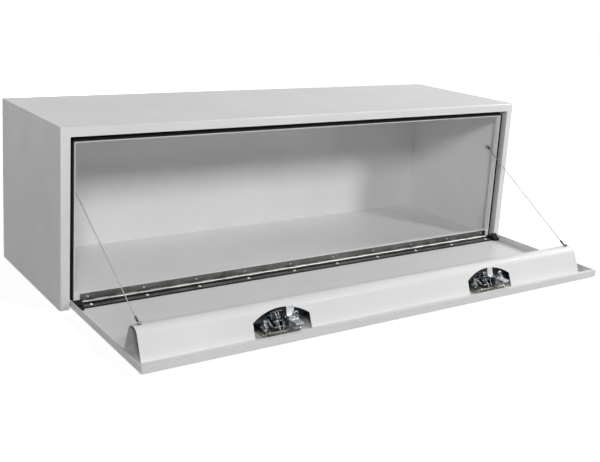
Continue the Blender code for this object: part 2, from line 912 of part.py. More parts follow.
def make_paddle(side_name, centre, pivot):
    """A flush paddle with a turned-in lip, a boss on its pin and a tail that reaches to the bolt."""
    middle = centre + paddle_side
    hinge = bpy.data.objects.new(side_name + "_paddle_pivot", None)
    hinge.parent = pivot
    hinge.location = (middle, pivot_deep, pivot_along)
    parts.objects.link(hinge)
    face = dish_front - pivot_deep
    half = paddle_width / 2
    shape = bmesh.new()
    add_box(shape, (-half, face, -paddle_reach), (half, face + paddle_sheet, paddle_overhang))
    name = side_name + "_paddle"
    paddle = place(mesh_of(shape, name), name, stainless, hinge)
    round_edges(paddle, paddle_edge)
    pieces = bmesh.new()
    add_box(
        pieces,
        (-half + paddle_sheet, face + paddle_sheet / 2, -paddle_reach + paddle_edge),
        (half - paddle_sheet, face + paddle_sheet + paddle_lip, -paddle_reach + paddle_edge + paddle_sheet),
    )
    join(paddle, place(mesh_of(pieces, name + "_lip"), name + "_lip", None, hinge))
    tail_middle = bolt_side - paddle_side
    boss = (tail_middle - paddle_boss_width / 2, tail_middle + paddle_boss_width / 2)
    join(
        paddle,
        round_object(
            name + "_boss", (boss[0], 0, 0), (boss[1], 0, 0), paddle_boss_radius, stud_sides, None, hinge
        ),
    )
    join(
        paddle,
        box_object(
            name + "_boss_web",
            (boss[0], face + paddle_sheet / 2, -paddle_boss_radius * paddle_web_share),
            (boss[1], 0, paddle_boss_radius * paddle_web_share),
            None,
            hinge,
        ),
    )
    join(
        paddle,
        box_object(
            name + "_tail",
            (tail_middle - tail_width / 2, 0, -tail_half_thickness),
            (tail_middle + tail_width / 2, tail_reach, tail_half_thickness),
            None,
            hinge,
        ),
    )
    cut_round(
        paddle,
        name + "_bore",
        (boss[0] - overrun, 0, 0),
        (boss[1] + overrun, 0, 0),
        paddle_pin_radius + paddle_pin_clearance,
        stud_sides,
        hinge,
    )
    reach = dish_width / 2 + paddle_pin_proud
    round_object(
        side_name + "_paddle_pin",
        (centre + dish_side - reach, pivot_deep, pivot_along),
        (centre + dish_side + reach, pivot_deep, pivot_along),
        paddle_pin_radius,
        stud_sides,
        zinc,
        pivot,
    )


def make_bolt(side_name, centre, pivot):
    """A slide bolt with a sloped tip, the lug that the paddle's tail pushes, and the spring's rod."""
    middle = centre + bolt_side
    half = bolt_width / 2
    shape = bmesh.new()
    outline = [
        (bolt_low, lug_far),
        (bolt_high, lug_far),
        (bolt_high, bolt_tip),
        (bolt_low + bolt_thickness / 2, bolt_tip),
        (bolt_low, bolt_tip - bolt_slope),
        (bolt_low, lug_near),
        (bolt_low - bolt_lug_drop, lug_near),
        (bolt_low - bolt_lug_drop, lug_far),
    ]
    prism(shape, outline, middle - half, middle + half)
    name = side_name + "_bolt"
    bolt = place(mesh_of(shape, name), name, zinc, pivot)
    join(
        bolt,
        round_object(
            name + "_rod",
            (middle, rod_deep, lug_far + overrun),
            (middle, rod_deep, lug_far - bolt_rod_length),
            bolt_rod_radius,
            stud_sides,
            None,
            pivot,
        ),
    )


def make_bracket(side_name, centre, pivot):
    """A bridge over the bolt with a window for it, a tab behind the spring, and the strip between them."""
    middle = centre + bolt_side
    inner = bolt_width / 2 + bracket_clearance
    outer = inner + bracket_sheet
    top = bolt_high + bracket_clearance
    near = dish_near - bracket_bridge_from_near
    far = near - bracket_bridge_length
    floor = bracket_floor
    name = side_name + "_bolt_bracket"
    shape = bmesh.new()
    prism_along(
        shape,
        [
            (middle - outer - bracket_foot, floor),
            (middle - inner, floor),
            (middle - inner, top),
            (middle + inner, top),
            (middle + inner, floor),
            (middle + outer + bracket_foot, floor),
            (middle + outer + bracket_foot, floor + bracket_sheet),
            (middle + outer, floor + bracket_sheet),
            (middle + outer, top + bracket_sheet),
            (middle - outer, top + bracket_sheet),
            (middle - outer, floor + bracket_sheet),
            (middle - outer - bracket_foot, floor + bracket_sheet),
        ],
        far,
        near,
    )
    bracket = place(mesh_of(shape, name), name, stainless, pivot)
    join(
        bracket,
        box_object(
            name + "_front",
            (middle - outer + bracket_seam, floor + bracket_seam, near - bracket_sheet),
            (middle + outer - bracket_seam, top + bracket_sheet - bracket_seam, near - bracket_seam),
            None,
            pivot,
        ),
    )
    join(
        bracket,
        box_object(
            name + "_strip",
            (middle - outer - bracket_foot + bracket_seam, floor + bracket_seam, bracket_tab + bracket_seam),
            (middle - inner - bracket_seam, floor + bracket_sheet - bracket_seam, far + overrun),
            None,
            pivot,
        ),
    )
    join(
        bracket,
        box_object(
            name + "_tab",
            (middle - outer - bracket_foot, floor, bracket_tab),
            (middle + inner, bolt_low, bracket_tab + bracket_sheet),
            None,
            pivot,
        ),
    )
    cut_box(
        bracket,
        name + "_window",
        (middle - inner + bracket_seam, bolt_low - bracket_clearance, near - bracket_sheet - overrun),
        (middle + inner - bracket_seam, top - bracket_seam, near + overrun),
        pivot,
    )
    cut_round(
        bracket,
        name + "_rod_hole",
        (middle, rod_deep, bracket_tab - overrun),
        (middle, rod_deep, bracket_tab + bracket_sheet + overrun),
        bolt_rod_radius + bracket_clearance,
        stud_sides,
        pivot,
    )


def prism_along(shape, outline, start, end):
    """A closed outline of (x, deep) points, drawn out along the height of the door."""
    first = [shape.verts.new((x, deep, start)) for x, deep in outline]
    last = [shape.verts.new((x, deep, end)) for x, deep in outline]
    shape.faces.new(first)
    shape.faces.new(last[::-1])
    for i in range(len(outline)):
        j = (i + 1) % len(outline)
        shape.faces.new((first[j], first[i], last[i], last[j]))


def tube(name, points, radius, resolution, material, parent=None):
    curve = bpy.data.curves.new(name, "CURVE")
    curve.dimensions = "3D"
    curve.bevel_depth = radius
    curve.bevel_resolution = resolution
    curve.use_fill_caps = True
    spline = curve.splines.new("POLY")
    spline.points.add(len(points) - 1)
    for spot, point in zip(spline.points, points):
        spot.co = (*point, 1)
    obj = bpy.data.objects.new(name, curve)
    obj.parent = parent
    parts.objects.link(obj)
    curve.materials.append(material)
    return obj


def as_mesh(obj):
    """The tube as a closed mesh that a Boolean can take."""
    graph = bpy.context.evaluated_depsgraph_get()
    mesh = bpy.data.meshes.new_from_object(obj.evaluated_get(graph))
    shape = bmesh.new()
    shape.from_mesh(mesh)
    bmesh.ops.remove_doubles(shape, verts=shape.verts, dist=weld_distance)
    shape.to_mesh(mesh)
    shape.free()
    return mesh


def least_gap(points, radius, apart):
    """The least space between two stretches of a tube that are more than a number of points apart."""
    return min(
        (points[i] - points[j]).length - 2 * radius
        for i in range(len(points))
        for j in range(i + apart, len(points))
    )


def make_spring(side_name, centre, pivot):
    """The bolt's spring, round the rod between the bracket's tab and the lug."""
    middle = centre + bolt_side
    start = bracket_tab + bracket_sheet + spring_seat_gap + spring_wire_radius
    length = spring_length - 2 * (spring_seat_gap + spring_wire_radius)
    count = spring_turn_count * spring_steps
    points = []
    for i in range(count + 1):
        angle = 2 * math.pi * i / spring_steps
        points.append(
            Vector(
                (
                    middle + spring_radius * math.cos(angle),
                    rod_deep + spring_radius * math.sin(angle),
                    start + length * i / count,
                )
            )
        )
    tube(side_name + "_bolt_spring", points, spring_wire_radius, 1, zinc, pivot)
    gap = least_gap(points, spring_wire_radius, spring_steps - 1)
    print(f"{side_name} bolt spring: least gap to itself {gap / mm:.2f} mm")


def make_lock(side_name, centre, pivot):
    """A lock cylinder through the dish, with a plug that turns in it and carries a cam inside the box."""
    side = centre + lock_side
    collar = dish_back - dish_sheet - touch_gap
    lock = round_object(
        side_name + "_lock_cylinder",
        (side, lock_front, lock_along),
        (side, lock_front + lock_length, lock_along),
        lock_radius,
        lock_sides,
        zinc,
        pivot,
    )
    name = side_name + "_lock_cylinder"
    join(
        lock,
        round_object(
            name + "_collar",
            (side, collar - lock_collar_height, lock_along),
            (side, collar, lock_along),
            lock_collar_radius,
            lock_sides,
            None,
            pivot,
        ),
    )
    cut_round(
        lock,
        name + "_bore",
        (side, lock_front - overrun, lock_along),
        (side, lock_front + lock_length + overrun, lock_along),
        lock_plug_radius + lock_plug_gap,
        lock_sides,
        pivot,
    )
    name = side_name + "_lock_plug"
    inner_end = lock_front + lock_length + touch_gap
    plug = round_object(
        name,
        (0, 0, 0),
        (0, inner_end + lock_cam_sheet - lock_front, 0),
        lock_plug_radius,
        lock_sides,
        zinc,
        pivot,
    )
    plug.location = (side, lock_front, lock_along)
    cam = box_object(
        name + "_cam",
        (-lock_cam_width / 2, inner_end - lock_front, -lock_cam_width / 2),
        (lock_cam_width / 2, inner_end + lock_cam_sheet - lock_front, lock_cam_reach),
        None,
        pivot,
    )
    cam.location = plug.location
    join(plug, cam)
    slot = box_object(
        name + "_key_slot",
        (-key_slot_width / 2, -overrun, -key_slot_length / 2),
        (key_slot_width / 2, key_slot_depth, key_slot_length / 2),
        None,
        pivot,
    )
    slot.location = plug.location
    cut(plug, slot)


def eye_frame(centre, axis, target):
    """The knee of a loop that lies flat round a stud, and the direction from there to the cable's target."""
    to_target = target - centre
    flat = (to_target - axis * to_target.dot(axis)).normalized()
    knee = centre + flat * eye_knee
    return flat, knee, (target - knee).normalized()


def make_eye(name, centre, axis, target, parent):
    """A loop and its ferrule as one piece. It returns the point where the cable leaves the ferrule."""
    flat, knee, direction = eye_frame(centre, axis, target)
    across = axis.cross(flat)
    leg = across * (cable_radius + cable_gap / 2)
    inside = knee + direction * (eye_rise + ferrule_length / 3)
    points = [inside + leg, knee + leg * eye_spread_share]
    for degrees in eye_angles:
        angle = math.radians(degrees)
        points.append(centre + (flat * math.cos(angle) + across * math.sin(angle)) * eye_radius)
    points += [knee - leg * eye_spread_share, inside - leg]
    loop = tube(name + "_loop", points, cable_radius, 1, steel_rope)
    eye = round_object(
        name,
        knee + direction * eye_rise,
        knee + direction * (eye_rise + ferrule_length),
        ferrule_radius,
        ferrule_sides,
        zinc,
        parent,
    )
    mesh = as_mesh(loop)
    bpy.data.objects.remove(loop)
    join(eye, place(mesh, name + "_loop", None, parent))
    return knee + direction * (eye_rise + ferrule_length + cable_gap)


def smooth_curve(route, count):
    """Points at even steps along a centripetal Catmull-Rom curve through the points of a route."""
    ends = [2 * route[0] - route[1], *route, 2 * route[-1] - route[-2]]
    fine = []
    for a, b, c, d in zip(ends, ends[1:], ends[2:], ends[3:]):
        knots = [0]
        for start, end in ((a, b), (b, c), (c, d)):
            knots.append(knots[-1] + (end - start).length ** 0.5)
        for step in range(fine_steps):
            t = knots[1] + (knots[2] - knots[1]) * step / fine_steps
            rows = [a, b, c, d]
            for level in (1, 2, 3):
                rows = [
                    rows[i] * ((knots[i + level] - t) / (knots[i + level] - knots[i]))
                    + rows[i + 1] * ((t - knots[i]) / (knots[i + level] - knots[i]))
                    for i in range(len(rows) - 1)
                ]
            fine.append(rows[0])
    fine.append(route[-1])
    reached = [0]
    for start, end in zip(fine, fine[1:]):
        reached.append(reached[-1] + (end - start).length)
    points = []
    k = 0
    for i in range(count):
        goal = reached[-1] * i / (count - 1)
        while k < len(fine) - 2 and reached[k + 1] < goal:
            k += 1
        share = (goal - reached[k]) / (reached[k + 1] - reached[k])
        points.append(fine[k].lerp(fine[k + 1], share))
    return points


def make_cable(side_name, turn, pivot):
    """A steel cable with an eye at each end: one on the side wall, one on the stiffener's crest."""
    wall = turn * (half_width - body_sheet - touch_gap)
    wall_centre = Vector((wall - turn * stud_standoff / 2, front + wall_stud_depth, wall_stud_height))
    bend = Vector(
        (
            turn * (half_width - lip_inset - cable_lip_clearance),
            front + recess_depth + body_sheet,
            cable_lip_height,
        )
    )
    anchor = turn * (half_width - anchor_inset)
    crest = Vector((anchor, crown_top + touch_gap + stud_standoff / 2, crown_along))
    opened = Matrix.Translation((0, axis_y, axis_height)) @ Matrix.Rotation(math.radians(90), 4, "X")
    start = make_eye(side_name + "_wall_eye", wall_centre, Vector((turn, 0, 0)), bend, None)
    end = opened @ make_eye(
        side_name + "_door_eye", crest, Vector((0, 1, 0)), opened.inverted() @ bend, pivot
    )
    to_lip = (bend - start).normalized()
    to_crest = (end - bend).normalized()
    before = bend - to_lip * cable_lip_bend
    after = bend + to_crest * cable_lip_bend
    apex = (before + 2 * bend + after) / 4
    route = [start, start.lerp(before, 1 / 2), before, apex, after]
    route += [after.lerp(end, 1 / 4), after.lerp(end, 1 / 2), after.lerp(end, 3 / 4), end]
    tube(side_name + "_cable", smooth_curve(route, cable_steps), cable_radius, 2, steel_rope)
    grip = stud_standoff + touch_gap
    profile = [
        (0, grip + stud_head_height),
        (stud_head_radius * stud_crown_share, grip + stud_head_height),
        (stud_head_radius, grip + stud_head_height / 2),
        (stud_head_radius, grip),
        (stud_radius, grip),
    ]
    wall_profile = [*profile, (stud_radius, 0), (0, 0)]
    place_of_stud = (wall, front + wall_stud_depth, wall_stud_height)
    lathe(
        side_name + "_wall_stud",
        wall_profile,
        stud_sides,
        zinc,
        None,
        place_of_stud,
        (0, math.radians(-90 * turn), 0),
    )
    under = stiffener_crown_radius - stiffener_sheet
    sag = under - math.sqrt(under**2 - stud_nut_radius**2)
    nut = -stiffener_sheet - sag - 2 * touch_gap
    door_profile = [
        *profile,
        (stud_radius, nut),
        (stud_nut_radius, nut),
        (stud_nut_radius, nut - stud_nut_height),
        (0, nut - stud_nut_height),
    ]
    crest_seat = (anchor, crown_top + touch_gap, crown_along)
    lathe(
        side_name + "_door_stud", door_profile, stud_sides, zinc, pivot, crest_seat, (math.radians(-90), 0, 0)
    )


make_body()
door_pivot = make_pivot()
make_door(door_pivot)
make_stiffener(door_pivot)
make_hinge(door_pivot)
make_rivets(door_pivot)
make_rubber(door_pivot)
for side_name, centre in latch_sides():
    make_dish(side_name, centre, door_pivot)
    make_paddle(side_name, centre, door_pivot)
    make_bolt(side_name, centre, door_pivot)
    make_bracket(side_name, centre, door_pivot)
    make_spring(side_name, centre, door_pivot)
    make_lock(side_name, centre, door_pivot)
for side_name, turn in (("left", -1), ("right", 1)):
    make_cable(side_name, turn, door_pivot)
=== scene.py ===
import math

import bmesh
import bpy
from mathutils import Matrix, Vector, noise


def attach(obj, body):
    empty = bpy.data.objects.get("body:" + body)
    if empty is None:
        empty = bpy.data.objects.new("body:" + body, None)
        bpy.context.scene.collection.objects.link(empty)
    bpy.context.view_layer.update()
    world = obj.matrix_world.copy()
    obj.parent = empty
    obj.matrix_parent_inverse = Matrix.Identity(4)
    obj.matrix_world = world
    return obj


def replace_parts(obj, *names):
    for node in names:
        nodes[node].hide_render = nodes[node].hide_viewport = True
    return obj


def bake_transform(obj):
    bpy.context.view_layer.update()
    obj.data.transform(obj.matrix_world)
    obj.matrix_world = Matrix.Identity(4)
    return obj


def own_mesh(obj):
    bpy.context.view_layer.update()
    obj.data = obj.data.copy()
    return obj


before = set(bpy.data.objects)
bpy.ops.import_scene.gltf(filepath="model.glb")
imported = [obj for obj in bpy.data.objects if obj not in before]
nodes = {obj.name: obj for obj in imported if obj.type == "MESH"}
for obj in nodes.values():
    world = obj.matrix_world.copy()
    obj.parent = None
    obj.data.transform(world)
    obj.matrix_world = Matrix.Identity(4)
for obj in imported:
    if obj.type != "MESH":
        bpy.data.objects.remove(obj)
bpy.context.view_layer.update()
scene = bpy.context.scene
mm = 0.001


# camera, at the photograph's angle
camera = {
    "place": (-1.4838, -2.2137, 0.8496),
    "azimuth": 0.58172,
    "elevation": 0.21736,
    "roll": 0.05427,
    "lens": 53.824,
    "shiftX": 0.05362,
    "shiftY": -0.11119,
    "sensor": 36,
    "clip": (0.05, 60),
}


def addCamera():
    azimuth, elevation, roll = camera["azimuth"], camera["elevation"], camera["roll"]
    level = math.cos(elevation)
    ahead = Vector((math.sin(azimuth) * level, math.cos(azimuth) * level, -math.sin(elevation)))
    right = ahead.cross(Vector((0, 0, 1))).normalized()
    up = right.cross(ahead)
    turnedRight = right * math.cos(roll) + up * math.sin(roll)
    turnedUp = -right * math.sin(roll) + up * math.cos(roll)
    data = bpy.data.cameras.new("photoCamera")
    data.lens, data.sensor_width = camera["lens"], camera["sensor"]
    data.shift_x, data.shift_y = camera["shiftX"], camera["shiftY"]
    data.clip_start, data.clip_end = camera["clip"]
    eye = bpy.data.objects.new("photoCamera", data)
    matrix = Matrix((turnedRight, turnedUp, -ahead)).transposed().to_4x4()
    matrix.translation = Vector(camera["place"])
    eye.matrix_world = matrix
    scene.collection.objects.link(eye)
    scene.camera = eye


addCamera()
print("camera placed")


# materials: all read Object coordinates, in metres
def startMaterial(name):
    material = bpy.data.materials.new(name)
    material.use_nodes = True
    tree = material.node_tree
    shader = tree.nodes["Principled BSDF"]
    place = tree.nodes.new("ShaderNodeTexCoord")
    return material, tree, shader, place.outputs["Object"]


# links the sources to the shader's sockets, and sets the values
def dressShader(tree, shader, sources, values):
    for name, source in sources.items():
        tree.links.new(source, shader.inputs[name])
    for name, value in values.items():
        shader.inputs[name].default_value = value


def stretched(tree, source, scale):
    mapping = tree.nodes.new("ShaderNodeMapping")
    mapping.inputs["Scale"].default_value = scale
    tree.links.new(source, mapping.inputs["Vector"])
    return mapping.outputs["Vector"]


def noiseOf(tree, source, scale, detail=2.0, roughness=0.5):
    texture = tree.nodes.new("ShaderNodeTexNoise")
    texture.inputs["Scale"].default_value = scale
    texture.inputs["Detail"].default_value = detail
    texture.inputs["Roughness"].default_value = roughness
    tree.links.new(source, texture.inputs["Vector"])
    return texture.outputs["Fac"]


def rampOf(tree, source, low, high, start=0.3, end=0.7):
    ramp = tree.nodes.new("ShaderNodeValToRGB")
    first, last = ramp.color_ramp.elements
    first.position, last.position = start, end
    first.color, last.color = (*low, 1), (*high, 1)
    tree.links.new(source, ramp.inputs["Fac"])
    return ramp.outputs["Color"]


def rangeOf(tree, source, low, high, start=0.3, end=0.7):
    ranged = tree.nodes.new("ShaderNodeMapRange")
    for name, value in (("From Min", start), ("From Max", end), ("To Min", low), ("To Max", high)):
        ranged.inputs[name].default_value = value
    tree.links.new(source, ranged.inputs["Value"])
    return ranged.outputs["Result"]


def bumpOf(tree, source, distance, strength=1.0, under=None):
    bump = tree.nodes.new("ShaderNodeBump")
    bump.inputs["Distance"].default_value = distance
    bump.inputs["Strength"].default_value = strength
    tree.links.new(source, bump.inputs["Height"])
    if under is not None:
        tree.links.new(under, bump.inputs["Normal"])
    return bump.outputs["Normal"]


def mixOf(tree, share, first, second, blend="MIX"):
    mix = tree.nodes.new("ShaderNodeMix")
    mix.data_type, mix.blend_type = "RGBA", blend
    if isinstance(share, float):
        mix.inputs[0].default_value = share
    else:
        tree.links.new(share, mix.inputs[0])
    tree.links.new(first, mix.inputs[6])
    tree.links.new(second, mix.inputs[7])
    return mix.outputs[2]


def math2(tree, operation, first, second):
    node = tree.nodes.new("ShaderNodeMath")
    node.operation = operation
    for i, value in enumerate((first, second)):
        if isinstance(value, (int, float)):
            node.inputs[i].default_value = value
        else:
            tree.links.new(value, node.inputs[i])
    return node.outputs[0]


def vector2(tree, operation, first, second):
    node = tree.nodes.new("ShaderNodeVectorMath")
    node.operation = operation
    for i, value in enumerate((first, second)):
        if isinstance(value, tuple):
            node.inputs[i].default_value = value
        else:
            tree.links.new(value, node.inputs[i])
    return node.outputs["Value" if operation in ("DOT_PRODUCT", "DISTANCE") else "Vector"]


def partsOf(tree, source):
    parts = tree.nodes.new("ShaderNodeSeparateXYZ")
    tree.links.new(source, parts.inputs[0])
    return parts.outputs


paint = {
    "dull": (0.82, 0.82, 0.82),
    "clean": (0.865, 0.865, 0.86),
    "paintedHollowShade": (0.34, 0.35, 0.375),
    "cloudSize": 4.5,
    "speckSize": 1500,
    "paintedHollowShadeSize": 60,
    "roughSize": 16,
    "hollowDeepens": (-0.568, -0.535),
    "hollowMiddle": (0.0, -0.5478, 0.0365),
    "hollowHalf": 0.0435,
    "hollowFacing": -0.004,
    "hollowFades": (0.655, 0.56),
    "hollowEnds": 0.5,
    "peelSize": 420,
    "peelDepth": 0.00006,
    "rollSize": 38,
    "rollDepth": 0.00022,
    "rough": (0.3, 0.42),
    "gloss": 0.22,
    "coat": 0.3,
    "coatRough": 0.06,
}


# 1 on the faces that look into the stiffener's hollow; there the paint is darkened as painted shade
def paintedHollowShadeMask(tree, place):
    facing = tree.nodes.new("ShaderNodeTexCoord").outputs["Normal"]
    fromMiddle = vector2(tree, "SUBTRACT", place, paint["hollowMiddle"])
    fromMiddle = vector2(tree, "MULTIPLY", fromMiddle, (0.0, 1.0, 1.0))
    towards = vector2(tree, "DOT_PRODUCT", fromMiddle, facing)
    inward = math2(tree, "LESS_THAN", towards, paint["hollowFacing"])
    across = math2(tree, "ABSOLUTE", partsOf(tree, fromMiddle)["Y"], 0)
    deeper = rangeOf(tree, partsOf(tree, place)["Y"], 0, 1, *paint["hollowDeepens"])
    inward = math2(tree, "MULTIPLY", inward, deeper)
    within = math2(tree, "MULTIPLY", inward, math2(tree, "LESS_THAN", across, paint["hollowHalf"]))
    reach = math2(tree, "ABSOLUTE", partsOf(tree, place)["X"], 0)
    fade = rangeOf(tree, reach, paint["hollowEnds"], 1, *paint["hollowFades"])
    return math2(tree, "MULTIPLY", within, fade)


def makePaint(name, hollow=False, shine=1.0):
    material, tree, shader, place = startMaterial(name)
    cloud = noiseOf(tree, place, paint["cloudSize"], 3)
    speck = noiseOf(tree, place, paint["speckSize"], 1)
    colour = rampOf(tree, cloud, paint["dull"], paint["clean"])
    grain = rampOf(tree, speck, (0.96, 0.96, 0.96), (1, 1, 1), 0.2, 0.45)
    colour = mixOf(tree, 1.0, colour, grain, "MULTIPLY")
    # painted shade: faces inside the stiffener's hollow are darkened towards a dull grey
    if hollow:
        darker = [0.6 * c for c in paint["paintedHollowShade"]]
        paintedHollowShade = rampOf(tree, noiseOf(tree, place, paint["paintedHollowShadeSize"], 3), darker, paint["paintedHollowShade"])
        colour = mixOf(tree, paintedHollowShadeMask(tree, place), colour, paintedHollowShade)
    rough = rangeOf(tree, noiseOf(tree, place, paint["roughSize"], 4), *paint["rough"])
    rolled = bumpOf(tree, noiseOf(tree, place, paint["rollSize"], 1), paint["rollDepth"], 0.5)
    peeled = bumpOf(tree, noiseOf(tree, place, paint["peelSize"], 2), paint["peelDepth"], 0.6, rolled)
    values = {"IOR": 1.5, "Specular IOR Level": paint["gloss"] * shine}
    values.update({"Coat Weight": paint["coat"], "Coat Roughness": paint["coatRough"]})
    dressShader(tree, shader, {"Base Color": colour, "Roughness": rough, "Normal": peeled}, values)
    return material


steel = {
    "lineSize": 55,
    "lineDepth": 0.00004,
    "along": (1.2, 60, 60),
    "even": (30, 30, 30),
    "grain": 0.4,
    "streak": (0.36, 0.64),
}


# fine lines, drawn out by the scale given
def steelLines(tree, place, along):
    return noiseOf(tree, stretched(tree, place, along), steel["lineSize"], 4, 0.65)


def dressSteel(tree, shader, colour, rough, lines, grain):
    relief = bumpOf(tree, lines, steel["lineDepth"], 0.5)
    sources = {"Base Color": colour, "Roughness": rough, "Normal": relief}
    dressShader(tree, shader, sources, {"Metallic": 1, "Anisotropic": grain})


# brushed metal: fine lines over broad dull blotches
def makeBrushed(name, low, high, rough, blotch, along=steel["along"]):
    material, tree, shader, place = startMaterial(name)
    lines = steelLines(tree, place, along)
    patch = noiseOf(tree, place, blotch, 4, 0.6)
    lined, blotched = rampOf(tree, lines, low, high, 0.25, 0.75), rampOf(tree, patch, low, high, 0.35, 0.65)
    colour = mixOf(tree, 0.5, lined, blotched)
    dressSteel(tree, shader, colour, rangeOf(tree, patch, *rough), lines, steel["grain"])
    return material


hinge = {
    "leafDarkReflection": ((0.075, 0.075, 0.072), (0.28, 0.28, 0.27)),
    "knuckleHighlight": ((0.3, 0.3, 0.29), (0.62, 0.62, 0.6)),
    "axis": (-0.2198, 0.0115),
    "knuckleEdge": (0.0036, 0.0042),
    "patchSize": 24,
    "rough": (0.3, 0.5),
}


# stainless hinge: streaked leaves darkened as painted dark reflection, and a knuckle lightened as painted
# highlight
def makeHingeSteel():
    material, tree, shader, place = startMaterial("hingeStainless")
    lines = steelLines(tree, place, steel["along"])
    patch = noiseOf(tree, place, hinge["patchSize"], 4, 0.6)
    streak = math2(tree, "MULTIPLY", math2(tree, "ADD", lines, patch), 0.5)
    leafDarkReflection, knuckleHighlight = (rampOf(tree, streak, *hinge[part], *steel["streak"]) for part in ("leafDarkReflection", "knuckleHighlight"))
    fromAxis = vector2(tree, "SUBTRACT", place, (0.0, *hinge["axis"]))
    fromAxis = vector2(tree, "MULTIPLY", fromAxis, (0.0, 1.0, 1.0))
    # painted highlight: the knuckle, near the hinge's axis, gets the lighter colour
    near = rangeOf(tree, vector2(tree, "DISTANCE", fromAxis, (0.0, 0.0, 0.0)), 1, 0, *hinge["knuckleEdge"])
    rough = rangeOf(tree, patch, *hinge["rough"])
    dressSteel(tree, shader, mixOf(tree, near, leafDarkReflection, knuckleHighlight), rough, lines, steel["grain"])
    return material


dish = {
    "backDarkReflection": ((0.035, 0.042, 0.05), (0.2, 0.21, 0.22)),
    "bandHighlight": ((0.13, 0.12, 0.108), (0.33, 0.315, 0.29)),
    "wall": ((0.3, 0.285, 0.26), (0.56, 0.54, 0.5)),
    "front": ((0.4, 0.41, 0.42), (0.68, 0.68, 0.68)),
    "bandStarts": (-0.5778, -0.579),
    "wallFacing": (0.25, 0.6),
    "backFacing": (-0.25, -0.05),
    "frontFacing": (-0.7, -0.4),
    "lines": (14, 14, 14),
    "patchSize": 42,
    "rough": (0.2, 0.36),
}


# pressed stainless: its back is darkened as painted dark reflection, with a lighter band along the near edge
# as painted highlight, and its walls lightened as painted reflection
def makeDishSteel():
    material, tree, shader, place = startMaterial("dishStainlessPaintedReflection")
    facing = partsOf(tree, tree.nodes.new("ShaderNodeTexCoord").outputs["Normal"])
    patch = noiseOf(tree, place, dish["patchSize"], 4, 0.6)
    lines = steelLines(tree, place, dish["lines"])
    streak = math2(tree, "MULTIPLY", math2(tree, "ADD", patch, lines), 0.5)
    parts = ("backDarkReflection", "bandHighlight", "wall", "front")
    backDarkReflection, bandHighlight, wall, front = (rampOf(tree, streak, *dish[part], *steel["streak"]) for part in parts)
    # painted highlight: a lighter band along the dish's near edge
    near = rangeOf(tree, partsOf(tree, place)["Y"], 0, 1, *dish["bandStarts"])
    colour = mixOf(tree, near, backDarkReflection, bandHighlight)
    # painted reflection: the steep walls get a lighter colour, as if mirroring the door's white rim
    colour = mixOf(tree, rangeOf(tree, facing["Z"], 1, 0, *dish["wallFacing"]), colour, wall)
    shows = math2(tree, "MAXIMUM", rangeOf(tree, facing["Z"], 0, 1, *dish["backFacing"]), near)
    shows = math2(tree, "MINIMUM", shows, rangeOf(tree, facing["Z"], 0, 1, *dish["frontFacing"]))
    rough = rangeOf(tree, patch, *dish["rough"])
    dressSteel(tree, shader, mixOf(tree, shows, front, colour), rough, lines, 0.0)
    return material


zincLook = {
    "crystalSize": 380,
    "crystal": ((0.26, 0.29, 0.31), (0.62, 0.63, 0.64)),
    "tintSize": 90,
    "tint": ((0.32, 0.38, 0.43), (0.66, 0.64, 0.58)),
    "rough": (0.26, 0.44),
    "depth": 0.00003,
}


def makeZinc():
    material, tree, shader, place = startMaterial("brightZinc")
    crystal = noiseOf(tree, place, zincLook["crystalSize"], 3, 0.7)
    tint = noiseOf(tree, place, zincLook["tintSize"], 2)
    spangled, tinted = rampOf(tree, crystal, *zincLook["crystal"]), rampOf(tree, tint, *zincLook["tint"])
    colour = mixOf(tree, 0.5, spangled, tinted)
    rough, relief = rangeOf(tree, crystal, *zincLook["rough"]), bumpOf(tree, crystal, zincLook["depth"], 0.6)
    dressShader(tree, shader, {"Base Color": colour, "Roughness": rough, "Normal": relief}, {"Metallic": 1})
    return material


rubberLook = {
    "bloomSize": 70,
    "bloom": ((0.003, 0.003, 0.003), (0.009, 0.009, 0.01)),
    "rough": (0.32, 0.55),
    "poreSize": 1300,
    "poreDepth": 0.00005,
    "gloss": 0.12,
}


def makeRubber():
    material, tree, shader, place = startMaterial("blackRubber")
    bloom = noiseOf(tree, place, rubberLook["bloomSize"], 4)
    pores = noiseOf(tree, place, rubberLook["poreSize"], 2)
    colour, rough = rampOf(tree, bloom, *rubberLook["bloom"]), rangeOf(tree, bloom, *rubberLook["rough"])
    relief = bumpOf(tree, pores, rubberLook["poreDepth"], 0.6)
    sources = {"Base Color": colour, "Roughness": rough, "Normal": relief}
    dressShader(tree, shader, sources, {"Specular IOR Level": rubberLook["gloss"]})
    return material


ropeLook = {
    "dirtSize": 160,
    "dirt": ((0.2, 0.205, 0.21), (0.42, 0.42, 0.41)),
    "rough": (0.34, 0.5),
    "metal": 0.8,
}


def makeRope():
    material, tree, shader, place = startMaterial("galvanisedRope")
    dirt = noiseOf(tree, place, ropeLook["dirtSize"], 3)
    colour, rough = rampOf(tree, dirt, *ropeLook["dirt"]), rangeOf(tree, dirt, *ropeLook["rough"])
    dressShader(tree, shader, {"Base Color": colour, "Roughness": rough}, {"Metallic": ropeLook["metal"]})
    return material


whitePaint = makePaint("whitePowderCoat")
# door panel and stiffener: white paint with painted shade inside the hollow
doorPaint = makePaint("whitePowderCoatPaintedHollowShade", True)
rivetPaint = makePaint("whiteRivetPaint", shine=2.5)
hingeSteel = makeHingeSteel()
even = steel["even"]
latchSteel = makeBrushed("brushedStainless", (0.34, 0.37, 0.4), (0.66, 0.68, 0.7), (0.22, 0.4), 60)
dishSteel = makeDishSteel()
